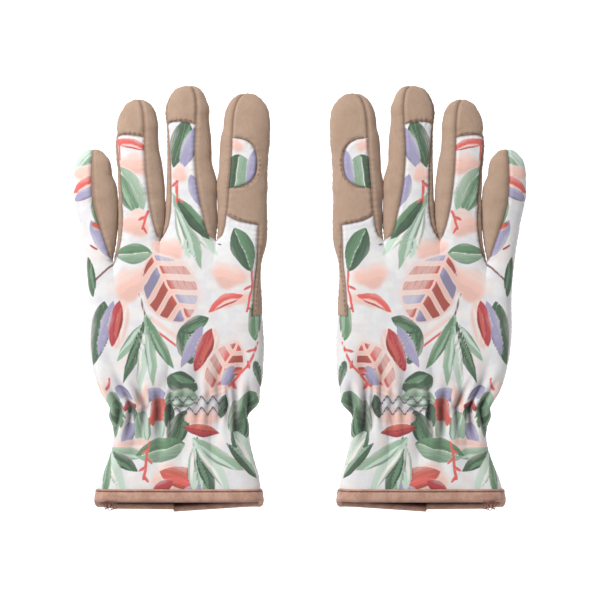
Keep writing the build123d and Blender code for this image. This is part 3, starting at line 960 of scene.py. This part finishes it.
class Shader:
    """A material's node tree, built one node at a time."""

    def __init__(self, name):
        self.material = bpy.data.materials.new(name)
        self.material.use_nodes = True
        self.tree = self.material.node_tree
        self.tree.nodes.clear()

    def add(self, kind, inputs=(), **settings):
        node = self.tree.nodes.new("ShaderNode" + kind)
        for key, value in settings.items():
            setattr(node, key, value)
        for key, value in dict(inputs).items():
            if isinstance(value, bpy.types.NodeSocket):
                self.tree.links.new(value, node.inputs[key])
            else:
                node.inputs[key].default_value = value
        return node

    def noise(self, vector, scale, detail=2.0, roughness=0.5):
        return self.add("TexNoise", {"Vector": vector, "Scale": scale, "Detail": detail,
                                     "Roughness": roughness}).outputs["Fac"]

    def math(self, operation, first, second=0.0, third=0.0):
        return self.add("Math", {0: first, 1: second, 2: third}, operation=operation).outputs[0]

    def ramp(self, value, low, high, to_low=0.0, to_high=1.0):
        return self.add("MapRange", {"Value": value, "From Min": low, "From Max": high, "To Min": to_low,
                                     "To Max": to_high}, interpolation_type="SMOOTHSTEP").outputs["Result"]

    def mix(self, factor, first, second, blend="MIX"):
        return self.add("Mix", {0: factor, 6: first, 7: second}, data_type="RGBA",
                        blend_type=blend).outputs[2]

    def stretched(self, vector, factors):
        return self.add("VectorMath", {0: vector, 1: factors}, operation="MULTIPLY").outputs[0]

    def darken_with_painted_shade(self, colour, shade, strength):
        """Colour darkened by the shade painted in seams and folds."""
        return self.mix(self.math("MULTIPLY", self.attribute("painted_shade"), strength), colour, shade, "MULTIPLY")

    def attribute(self, name, output="Fac"):
        return self.add("Attribute", attribute_name=name).outputs[output]

    def finish(self, colour, height=None, distance=0.0003, strength=0.5, **values):
        inputs = {"Base Color": colour, **values}
        if height is not None:
            inputs["Normal"] = self.add("Bump", {"Height": height, "Distance": distance,
                                                 "Strength": strength}).outputs["Normal"]
        surface = self.add("BsdfPrincipled", inputs)
        output = self.add("OutputMaterial")
        self.tree.links.new(surface.outputs[0], output.inputs[0])
        return self.material


print_colours = {
    "pale": linear(244, 238, 230), "blush": linear(246, 200, 186), "terracotta": linear(204, 98, 84),
    "red": linear(186, 66, 72), "coral": linear(228, 100, 92), "lilac": linear(166, 160, 192),
    "sage": linear(152, 180, 154), "mint": linear(200, 220, 204), "mid_green": linear(104, 142, 108),
    "dark_green": linear(74, 102, 78), "twig": linear(128, 90, 80),
}


def print_material():
    shader = Shader("print_fabric")
    rest = shader.attribute("rest", "Vector")
    brush = shader.attribute("brush", "Vector")
    streak = shader.noise(shader.stretched(brush, (0.10, 0.95, 0.0)), 1.0, 2.0, 0.55)
    across = shader.add("SeparateXYZ", {0: brush}).outputs["Z"]
    wobble = shader.math("MULTIPLY_ADD", shader.noise(rest, 0.9, 3.0, 0.6), 0.34, -0.17)
    wash = shader.noise(rest, 0.16, 2.0)
    tone_at = shader.math("MULTIPLY_ADD", across, 0.68, shader.math("MULTIPLY_ADD", streak, 0.55, -0.10))
    ground = shader.mix(shader.ramp(wash, 0.35, 0.65), linear(229, 227, 230), linear(237, 237, 235))
    ground = shader.mix(shader.ramp(shader.noise(rest, 0.09, 2.0, 0.6), 0.45, 0.7, 0.0, 0.5), ground,
                        linear(244, 226, 218))
    result = ground
    for colour in colours:
        inside = shader.math("ADD", shader.attribute("in_" + colour), wobble)
        soft = 1.7 if colour == "blush" else 0.26
        cover = shader.ramp(inside, -soft, soft, 0.0, 0.97)
        shade = print_colours[colour]
        light = tuple(0.5 * c + 0.5 * g for c, g in zip(shade, linear(240, 234, 228)))
        deep = tuple((0.9 if colour in ("blush", "pale") else 0.66) * c for c in shade[:3]) + (1.0,)
        tone = shader.mix(shader.ramp(tone_at, 0.20, 0.50), deep, shade)
        tone = shader.mix(shader.ramp(tone_at, 0.58, 0.95), tone, light)
        result = shader.mix(cover, result, tone)
    knit = shader.noise(rest, 3.4, 2.0, 0.6)
    result = shader.mix(shader.ramp(knit, 0.3, 0.7, 0.0, 0.10), result, linear(150, 150, 160), "MULTIPLY")
    # painted shade in seams and folds, a grey-mauve
    result = shader.darken_with_painted_shade(result, linear(132, 120, 128), 0.85)
    bump = shader.math("ADD", shader.noise(rest, 2.6, 3.0, 0.6),
                       shader.math("MULTIPLY", shader.noise(rest, 0.5), 0.8))
    return shader.finish(result, bump, 0.00025, 0.45, **{"Roughness": 0.92, "Sheen Weight": 0.25,
                                                        "Sheen Roughness": 0.6, "Specular IOR Level": 0.25})


def suede_material():
    shader = Shader("suede")
    rest = shader.attribute("rest", "Vector")
    fine = shader.noise(rest, 2.3, 4.0, 0.7)
    patches = shader.noise(rest, 0.13, 3.0, 0.55)
    nap = shader.noise(shader.stretched(rest, (0.9, 0.9, 0.35)), 0.9, 3.0, 0.6)
    colour = shader.mix(shader.ramp(patches, 0.25, 0.75), linear(171, 144, 124), linear(181, 154, 134))
    colour = shader.mix(shader.ramp(fine, 0.35, 0.75, 0.0, 0.4), colour, linear(193, 168, 149))
    colour = shader.mix(shader.ramp(nap, 0.28, 0.55, 0.22, 0.0), colour, linear(161, 132, 114))
    # painted shade in seams and folds, a dark tan
    colour = shader.darken_with_painted_shade(colour, linear(126, 104, 96), 0.55)
    bump = shader.math("ADD", fine, shader.math("MULTIPLY", nap, 1.2))
    return shader.finish(colour, bump, 0.0003, 0.5, **{"Roughness": 0.95, "Sheen Weight": 0.3,
                                                      "Sheen Roughness": 0.45, "Specular IOR Level": 0.15})


def tape_material(name, light, dark):
    shader = Shader(name)
    rest = shader.attribute("rest", "Vector")
    weave = shader.noise(shader.stretched(rest, (1.0, 1.0, 0.35)), 2.08, 2.0, 0.5)
    patches = shader.noise(rest, 0.22, 2.0)
    colour = shader.mix(shader.ramp(patches, 0.3, 0.7), dark, light)
    between = tuple(0.6 * c for c in dark[:3]) + (1.0,)
    colour = shader.mix(shader.ramp(weave, 0.35, 0.65, 0.25, 0.0), colour, between)
    # painted shade, where the mesh carries it, in dark red-brown
    colour = shader.darken_with_painted_shade(colour, linear(110, 72, 64), 1.0)
    return shader.finish(colour, weave, 0.0003, 0.6, **{"Roughness": 0.72, "Sheen Weight": 0.35,
                                                       "Sheen Roughness": 0.4, "Specular IOR Level": 0.35})


def thread_material(name, colour, dark):
    shader = Shader(name)
    rest = shader.attribute("rest", "Vector")
    strands = shader.noise(rest, 4.0, 2.0)
    mixed = shader.mix(shader.ramp(strands, 0.35, 0.65), colour, dark)
    return shader.finish(mixed, strands, 0.0002, 0.5, Roughness=0.7)


materials = {
    "print_fabric": print_material(),
    "suede": suede_material(),
    "binding": tape_material("binding", linear(205, 164, 145), linear(184, 141, 122)),
    # inner faces of the suede pieces: darker brown, partly the suede's reverse side and partly painted shade
    # for the inside of the glove
    "lining": tape_material("lining", linear(132, 96, 76), linear(112, 78, 60)),
    "elastic": tape_material("elastic", linear(226, 222, 220), linear(204, 200, 198)),
    "thread": thread_material("thread", linear(156, 104, 90), linear(96, 54, 48)),
    "mauve_thread": thread_material("mauve_thread", linear(134, 124, 134), linear(104, 96, 106)),
    "tan_thread": thread_material("tan_thread", linear(172, 139, 118), linear(146, 114, 96)),
}


def finish_piece(obj, material, side, replaced=()):
    """Gives a piece its material, and hides the CAD nodes it stands for."""
    obj.data.materials.append(materials[material])
    if replaced:
        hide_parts(*[side + "_" + node for node in replaced])
    return obj


def bend(obj, side, sign, child):
    """Bakes a piece's placement into its mesh."""
    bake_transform(obj)


closed = {name: closed_cloth(grids) for name, grids in panels.items()}
prints = {name: painted(closed[name][3][:, :3])
          for name in panels if piece_facts[name][2] == "print_fabric"}
for side, sign in (("left", 1), ("right", -1)):
    for name, (points, faces, normal, base, outer_faces) in closed.items():
        child, replaced, slot = piece_facts[name]
        # the fourth column of base is the shade painted into seams and folds
        attributes = {"rest": points, "painted_shade": base[:, 3]}
        if name in prints:
            attributes.update({"in_" + colour: prints[name].inside[colour] for colour in colours})
            attributes["brush"] = prints[name].brush
        obj = mesh_object(f"cloth_{side}_{name}", points, faces, sign, normal, attributes)
        finish_piece(obj, slot, side, replaced)
        # inner faces: the darker lining with its painted shade for suede, the pale elastic cloth for print
        obj.data.materials.append(materials["lining" if slot == "suede" else "elastic"])
        inner = np.zeros(len(faces), np.int32)
        inner[outer_faces:2 * outer_faces] = 1
        obj.data.polygons.foreach_set("material_index", inner)
        bend(obj, side, sign, child)


# ---------------------------------------------------------------- binding, elastic and threads
def on_back(u, z, raised=0.0):
    """Finished points on the back of the glove, and the way out of it, at given u and z."""
    u, z = np.atleast_1d(u).astype(float), np.atleast_1d(z).astype(float)
    base, outward = np.zeros((len(u), 3)), np.zeros((len(u), 3))
    for strip in strips:
        left_at, right_at, *_ = strips[strip]
        left, right = left_at(z), right_at(z)
        share = (u - (left + right) / 2) / ((right - left) / 2)
        chosen = np.abs(share) <= 1.0000001
        share = np.clip(share[chosen], -1, 1)
        phi = np.arccos(signed_power(share, section_power / 2))
        base[chosen], outward[chosen] = base_surface(strip, phi, z[chosen])
    height = folds(base) + seam_dip(base)[0] + raised
    return base + outward * height[:, None], outward


def tube(path, radius, ends=True):
    """Points and faces of a round thread along a path, with rounded-in ends."""
    path = np.asarray(path, float)
    tangent = unit(np.gradient(path, axis=0))
    one = unit(np.cross(tangent, (0.13, 1.0, 0.07)))
    two = np.cross(tangent, one)
    sides = 7
    angle = np.arange(sides) * 2 * pi / sides
    size = np.full(len(path), radius)
    if ends:
        size[0] = size[-1] = radius * 0.45
    ring = (np.cos(angle)[:, None] * one[:, None] + np.sin(angle)[:, None] * two[:, None])
    points = path[:, None] + ring * size[:, None, None]
    faces = [[i * sides + k, i * sides + (k + 1) % sides, (i + 1) * sides + (k + 1) % sides,
              (i + 1) * sides + k] for i in range(len(path) - 1) for k in range(sides)]
    last = (len(path) - 1) * sides
    faces.append(list(range(sides))[::-1])
    faces.append([last + k for k in range(sides)])
    return points.reshape(-1, 3), faces


def gathered(parts):
    """Several (points, faces) as one."""
    points, faces, start = [], [], 0
    for part_points, part_faces in parts:
        points.append(part_points)
        faces += [[v + start for v in face] for face in part_faces]
        start += len(part_points)
    return np.concatenate(points), faces


def dashes(u_line, z_line, length=1.9, gap=0.9, radius=0.2, raised=0.15):
    """Stitches laid on the back along a line."""
    u_line, z_line = np.asarray(u_line, float), np.asarray(z_line, float)
    run = np.concatenate([[0], np.cumsum(np.hypot(np.diff(u_line), np.diff(z_line)))])
    parts = []
    for start in np.arange(0.6, run[-1] - length, length + gap):
        at = start + length * np.array([0, 0.12, 0.5, 0.88, 1.0])
        surface, outward = on_back(np.interp(at, run, u_line), np.interp(at, run, z_line), raised)
        sink = np.array([-0.35, 0.0, 0.12, 0.0, -0.35])[:, None]
        parts.append(tube(surface + outward * sink, radius))
    return parts


def zigzag(row, seed):
    """A row of zigzag stitching across the gathered elastic."""
    parts = []
    turns = np.arange(-4.4, 29.5, 3.45)
    u = turns + 0.5 * noise(np.stack([turns, 0 * turns + seed, 0 * turns], 1), 3.0, 31)
    z = row + np.where(np.arange(len(turns)) % 2, 2.35, -2.35) + 0.25 * np.sin(turns)
    for (u0, u1), (z0, z1) in zip(zip(u, u[1:]), zip(z, z[1:])):
        for k in range(3):                     # three stitches to a stroke
            at = np.linspace(k + 0.06, k + 0.94, 5) / 3
            surface, outward = on_back(u0 + (u1 - u0) * at, z0 + (z1 - z0) * at, 0.22)
            parts.append(tube(surface + outward * np.array([-0.3, 0.02, 0.12, 0.02, -0.3])[:, None], 0.31))
    return parts


def hem_ring(profile):
    """Closed ring round the hem.

    profile: the (height above the hem's lowest edge, distance out) of its section, for a tape 8.6 mm high.
    """
    profile = np.asarray(profile, float) * [tape_height / 8.6, 1]
    places = []
    for side, order, turn in ((1, list(strips), (pi, 0)), (-1, list(strips)[::-1], (0, -pi))):
        for strip in order:
            left_at, right_at, *_ = strips[strip]
            count = max(8, int((right_at(5.0) - left_at(5.0)) / 0.55))
            places += [(strip, angle, side) for angle in np.linspace(*turn, count)[:-1]]
    sections = []
    for strip, angle, side in places:
        z = hem_low(strip, angle, side) + profile[:, 0]
        base, outward = base_surface(strip, np.full(len(profile), angle), z, side)
        hug = np.clip(profile[:, 0] / tape_height, 0, 1)
        out = profile[:, 1] + folds(base) * (0.35 + 0.65 * hug)
        out += 0.16 * noise(base * [1, 1, 0.5], 3.2, 41) * (np.abs(profile[:, 1]) > 0.3)
        sections.append(base + outward * out[:, None])
    points = np.stack(sections)
    count, width = points.shape[:2]
    i, k = np.meshgrid(np.arange(count), np.arange(width), indexing="ij")
    j, m = (i + 1) % count, (k + 1) % width
    faces = np.stack([i * width + k, j * width + k, j * width + m, i * width + m], -1).reshape(-1, 4)
    return points.reshape(-1, 3), faces.tolist()


tape_profile = [(8.6, 0.05), (8.75, 0.45), (8.45, 1.0), (7.9, 1.15), (7.4, 0.8), (7.15, 0.1), (6.95, 0.1),
                (6.7, 0.6), (6.2, 0.85), (4.5, 1.0), (2.5, 1.2), (1.0, 1.1), (0.2, 0.45), (0.0, -0.35),
                (0.25, -1.15), (1.0, -1.65), (2.6, -1.85), (4.2, -1.8), (4.9, -1.65), (5.1, -1.3),
                (5.0, -0.9), (6.5, -0.35)]
# shade painted at each point of that section: in the groove under its folded edge, and over its inner face
tape_painted_shade = [0, 0, 0, 0, 0.1, 0.6, 0.6, 0.1, 0, 0, 0, 0.1, 0.2, 0.1, 0.0, 0.0, 0.25, 1, 1, 1, 1, 1]
binding_parts = hem_ring(tape_profile)
binding_painted_shade = np.tile(tape_painted_shade, len(binding_parts[0]) // len(tape_profile))
grid_u, grid_z = np.meshgrid(np.arange(-5.0, 28.7, 0.8), np.arange(elastic_z - 6.2, elastic_z + 6.8, 0.9))
elastic_top, elastic_out = on_back(grid_u.ravel(), grid_z.ravel(), -1.0)
elastic_points = np.concatenate([elastic_top, elastic_top - elastic_out * cloth_thickness])
cells = np.arange(grid_u.size).reshape(grid_u.shape)
sheet_faces = quads_of(cells)
rim_line = np.concatenate([cells[0, :-1], cells[:-1, -1], cells[-1, :0:-1], cells[:0:-1, 0]])
rim_next = np.roll(rim_line, -1)
elastic_faces = (sheet_faces.tolist() + (sheet_faces[:, ::-1] + cells.size).tolist()
                 + np.stack([rim_next, rim_line, rim_line + cells.size, rim_next + cells.size], 1).tolist())

share = np.linspace(0.04, 0.96, 60)


def across_cap(finger, outer, inner):
    """Line of stitches just above a cap seam."""
    seam_z = cap_line(finger, share) + 1.2
    return curve(outer)(seam_z) * (1 - share) + curve(inner)(seam_z) * share, seam_z


window_z = np.linspace(window_low + 0.4, window_high - 0.4, 80)
side_z = np.linspace(wrap_low + 1.5, crotch_high - 1, 60)
# name: stitches, their body, whether they are left unattached rather than parented to it, thread
stitches = {
    "wrist": (zigzag(stitch_rows[1], 1.0) + zigzag(stitch_rows[0], 2.0), "cuff", True, "mauve_thread"),
    "crotch": (dashes(np.linspace(21.6, 26.2, 20), crotch_high - 1.6 - np.linspace(0, 1.4, 20),
                      2.1, 0.2, 0.3, 0.3), "hand", False, "mauve_thread"),
    "side": (dashes(wrap_u(side_z) + 1.1, side_z), "hand", False, "tan_thread"),
    "hem": (dashes(np.linspace(-44, 43.5, 200), np.full(200, hem_front + tape_height * 0.83),
                   length=2.1, raised=0.38), "cuff", False, "tan_thread"),
    "ring": (dashes(*across_cap("ring", ring_outer_seam, ring_inner_seam)), "ring", True, "tan_thread"),
    "middle": (dashes(*across_cap("middle", middle_outer_seam, middle_inner_seam)),
               "middle", True, "tan_thread"),
    "index": (dashes(window_u(window_z) + 1.25, window_z)
              + dashes(27.5 + 17.4 * share, bridge_line(share) + 1.3), "index", True, "tan_thread"),
}

# the thread loops that tack the pair together at the little-finger end of the hem
tack_low, tack_high = box_mm("left_tack_loop")
tack_u = (tack_low[0] + tack_high[0]) / 2 - cuff_x
tack_depth = mid_y - (tack_low[1] + tack_high[1]) / 2
loops = []
for number in range(5):
    turn = np.linspace(0, 2 * pi, 26)
    wide, tall = 0.9 + 0.45 * (number % 3), 2.5 - 0.4 * (number % 2)
    u = tack_u - 2.6 + 1.25 * number + wide * np.cos(turn) + 0.35 * np.sin(2 * turn + number)
    z = 5.6 + 0.4 * math.sin(2 * number) + tall * np.sin(turn)
    depth = tack_depth - 1.0 + 1.3 * np.sin(turn + 0.4 * number)
    loops.append(tube(np.stack([u, depth, z], 1), 0.24, ends=False))
tack_parts = gathered(loops)

# ---------------------------------------------------------------- thumb, folded over the palm
thumb_top = mid_y - box_mm("left_thumb_back")[0][1]      # depth of its side next to the palm
thumb_far = mid_y - box_mm("left_thumb_palm")[1][1]
lean = math.radians(127.6)                               # its way from root to tip, in the palm's plane
along_way = np.array([math.cos(lean), math.sin(lean)])
across_way = np.array([-math.sin(lean), math.cos(lean)])
thumb_root = np.array([-24.0 - cuff_x, 93.0])
thumb_half, thumb_reach = 12.5, 50.4
thumb_power = 2.3          # roundness of its section
thumb_round = 0.8          # share of its length at which its tip starts to round off


def thumb_surface(t, angle):
    """Point and outward direction on the thumb; t runs from its root to its tip, angle round it."""
    t, angle = np.broadcast_arrays(t, angle)
    body = np.clip(t / thumb_round, 0, 1)
    dome = np.clip((t - thumb_round) / (1 - thumb_round), 0, 1)
    # its two edges, along and across it: staggered at the slanting root and level where the tip rounds off
    low_x, high_x = -16.7 + (thumb_reach + 16.7) * body, 13.4 + (thumb_reach - 13.4) * body
    low_y = 12.5 + 3.4 * (1 - smooth(body / 0.42)) + 0.9 * np.sin(pi * np.clip(body / 0.3, 0, 1))
    high_y = -thumb_half + 0.9 * np.sin(pi * body)
    shrink = np.sqrt(np.maximum(1 - dome ** 2, 0))
    middle = np.stack([(low_x + high_x) / 2 + thumb_half * dome, (low_y + high_y) / 2], -1)
    reach = np.stack([(low_x - high_x) / 2, (low_y - high_y) / 2], -1) * shrink[..., None]
    c, s = signed_power(np.cos(angle), 2 / thumb_power), signed_power(np.sin(angle), 2 / thumb_power)
    flat = middle + reach * c[..., None]
    place = thumb_root + flat[..., :1] * along_way + flat[..., 1:] * across_way
    settle = smooth(body / 0.3)
    centre = (thumb_top + thumb_far) / 2 * settle + (thumb_top + 0.4) * (1 - settle)
    half = (thumb_top - thumb_far) / 2 * (0.22 + 0.78 * settle) * shrink ** 0.85
    depth = centre + half * s
    points = np.stack([place[..., 0], depth, place[..., 1]], -1)
    out = reach / np.maximum(np.linalg.norm(reach, axis=-1, keepdims=True), 1e-6) * c[..., None]
    way = out[..., :1] * along_way + out[..., 1:] * across_way
    outward = np.stack([way[..., 0], s, way[..., 1]], -1)
    tipward = (dome / np.maximum(shrink, 1e-3))[..., None] * np.array([along_way[0], 0, along_way[1]])
    outward = outward + tipward
    return points, outward / np.linalg.norm(outward, axis=-1, keepdims=True)


class ThumbGrid(Grid):
    """One half of the thumb."""

    def __init__(self, start, end):
        turn = np.linspace(0, pi / 2, 26)[1:]
        t = np.concatenate([np.linspace(0, thumb_round, 80), thumb_round + (1 - thumb_round) * np.sin(turn)])
        self.base, self.outward = thumb_surface(t[:, None], np.linspace(start, end, 46)[None])
        near = np.minimum(*(np.linalg.norm(self.base - edge, axis=-1)
                            for edge in (self.base[:, :1], self.base[:, -1:])))
        height = seam_profile(near) + 0.5 * noise(self.base, 13, 51) + 0.25 * noise(self.base, 6, 52)
        self.points = self.base + self.outward * height[..., None]
        # shade painted into the seams along the thumb's two edges
        self.painted_shade = bell(near, seam_width)


thumb_grids = {"thumb_back": [ThumbGrid(0, pi)], "thumb_palm": [ThumbGrid(pi, 2 * pi)]}
shared_normals(thumb_grids["thumb_back"] + thumb_grids["thumb_palm"])
thumb_closed = {name: closed_cloth(grids) for name, grids in thumb_grids.items()}

for side, sign in (("left", 1), ("right", -1)):
    for name, (points, faces, normal, base, outer_faces) in thumb_closed.items():
        # the thumb's base also carries the shade painted along its seams
        obj = mesh_object(f"cloth_{side}_{name}", points, faces, sign, normal,
                          {"rest": points, "painted_shade": base[:, 3]})
        finish_piece(obj, "suede", side, [name])
        far = along_way * knuckle_reach
        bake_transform(obj)

    for name, (points, faces), slot, node, painted_shade in (
            (f"tape_{side}_binding", binding_parts, "binding", "cuff_binding", {"painted_shade": binding_painted_shade}),
            (f"thread_{side}_tack", tack_parts, "thread", "tack_loop", {}),
            (f"band_{side}_elastic", (elastic_points, elastic_faces), "elastic", "wrist_elastic", {})):
        obj = mesh_object(name, points, faces, sign, None, {"rest": points, **painted_shade})
        finish_piece(obj, slot, side, [node])
        if slot == "elastic":
            bend(obj, side, sign, "cuff")
        else:
            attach(obj, side + "_cuff")

    for name, (parts, body, blended, material) in stitches.items():
        points, faces = gathered(parts)
        obj = mesh_object(f"stitches_{side}_{name}", points, faces, sign, None, {"rest": points})
        finish_piece(obj, material, side)
        if blended:
            bend(obj, side, sign, body)
        else:
            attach(obj, f"{side}_{body}")

# ---------------------------------------------------------------- camera and light
camera_data = bpy.data.cameras.new("camera")
camera = bpy.data.objects.new("camera", camera_data)
bpy.context.scene.collection.objects.link(camera)
camera_far, frame_width = 1.4, 0.342       # the frame is this wide (m) at the gloves
camera.location = (0, -camera_far, 0.1215)
camera.rotation_euler = (math.radians(90), 0, 0)
camera_data.sensor_width = 36
camera_data.lens = 36 * camera_far / frame_width
bpy.context.scene.camera = camera
bpy.context.scene.view_settings.view_transform = "Standard"


def area_light(name, place, size, power):
    """A square light aimed at the gloves."""
    data = bpy.data.lights.new(name, "AREA")
    data.size, data.energy = size, power
    light = bpy.data.objects.new(name, data)
    bpy.context.scene.collection.objects.link(light)
    light.location = place
    direction = Vector((0, 0, 0.12)) - Vector(place)
    light.rotation_euler = direction.to_track_quat("-Z", "Y").to_euler()


area_light("key", (-0.52, -0.68, 0.84), 0.36, 12.9)
area_light("fill", (0.8, -0.8, 0.3), 0.8, 1.0)
world = bpy.data.worlds.new("world")
bpy.context.scene.world = world
world.use_nodes = True
world.node_tree.nodes["Background"].inputs[0].default_value = (0.95, 0.96, 1.0, 1.0)
world.node_tree.nodes["Background"].inputs[1].default_value = 0.10

# pale floor that curves up into a wall behind the gloves and at their sides, and is open in front
floor_z, bend, wall_y, wall_x, corner, front_y, wall_top = -0.30, 0.30, 1.60, 2.40, 0.80, -0.7, 2.0
turns = np.linspace(0, pi / 2, 13)
path = [(-wall_x, front_y, -1.0, 0.0)]
path += [(-wall_x + corner * (1 - math.cos(a)), wall_y - corner * (1 - math.sin(a)),
          -math.cos(a), math.sin(a)) for a in turns]
path += [(-x, y, -out_x, out_y) for x, y, out_x, out_y in path[::-1]]
rise = [(-bend * (1 - math.sin(a)), floor_z + bend * (1 - math.cos(a))) for a in turns] + [(0.0, wall_top)]
backdrop_points = [(x + out_x * shift, y + out_y * shift, z)
                   for x, y, out_x, out_y in path for shift, z in rise]
width = len(rise)
backdrop_faces = [[i * width + k, (i + 1) * width + k, (i + 1) * width + k + 1, i * width + k + 1]
                  for i in range(len(path) - 1) for k in range(width - 1)]
backdrop_faces.append([i * width for i in range(len(path))][::-1])
backdrop_points += [(-8.0, -8.0, floor_z), (8.0, -8.0, floor_z)]
backdrop_faces.append([len(backdrop_points) - 2, len(backdrop_points) - 1, (len(path) - 1) * width, 0])
backdrop_mesh = bpy.data.meshes.new("backdrop")
backdrop_mesh.from_pydata(backdrop_points, [], backdrop_faces)
backdrop_mesh.polygons.foreach_set("use_smooth", [len(face) == 4 for face in backdrop_faces])
backdrop = bpy.data.objects.new("backdrop", backdrop_mesh)
bpy.context.scene.collection.objects.link(backdrop)
paper = Shader("paper")
place = paper.add("TexCoord").outputs["Object"]
far = paper.add("SeparateXYZ", {0: place}).outputs
glow = paper.math("MULTIPLY", paper.ramp(far["Z"], floor_z, floor_z + 0.06, 0.25, 1.0),
                  paper.ramp(far["Y"], front_y, 0.6, 0.30, 0.95))
backdrop_mesh.materials.append(paper.finish(
    paper.mix(paper.ramp(paper.noise(place, 6.0), 0.3, 0.7), (0.70, 0.70, 0.70, 1), (0.72, 0.72, 0.72, 1)),
    **{"Roughness": 0.9, "Emission Color": (1, 1, 1, 1), "Emission Strength": glow}))
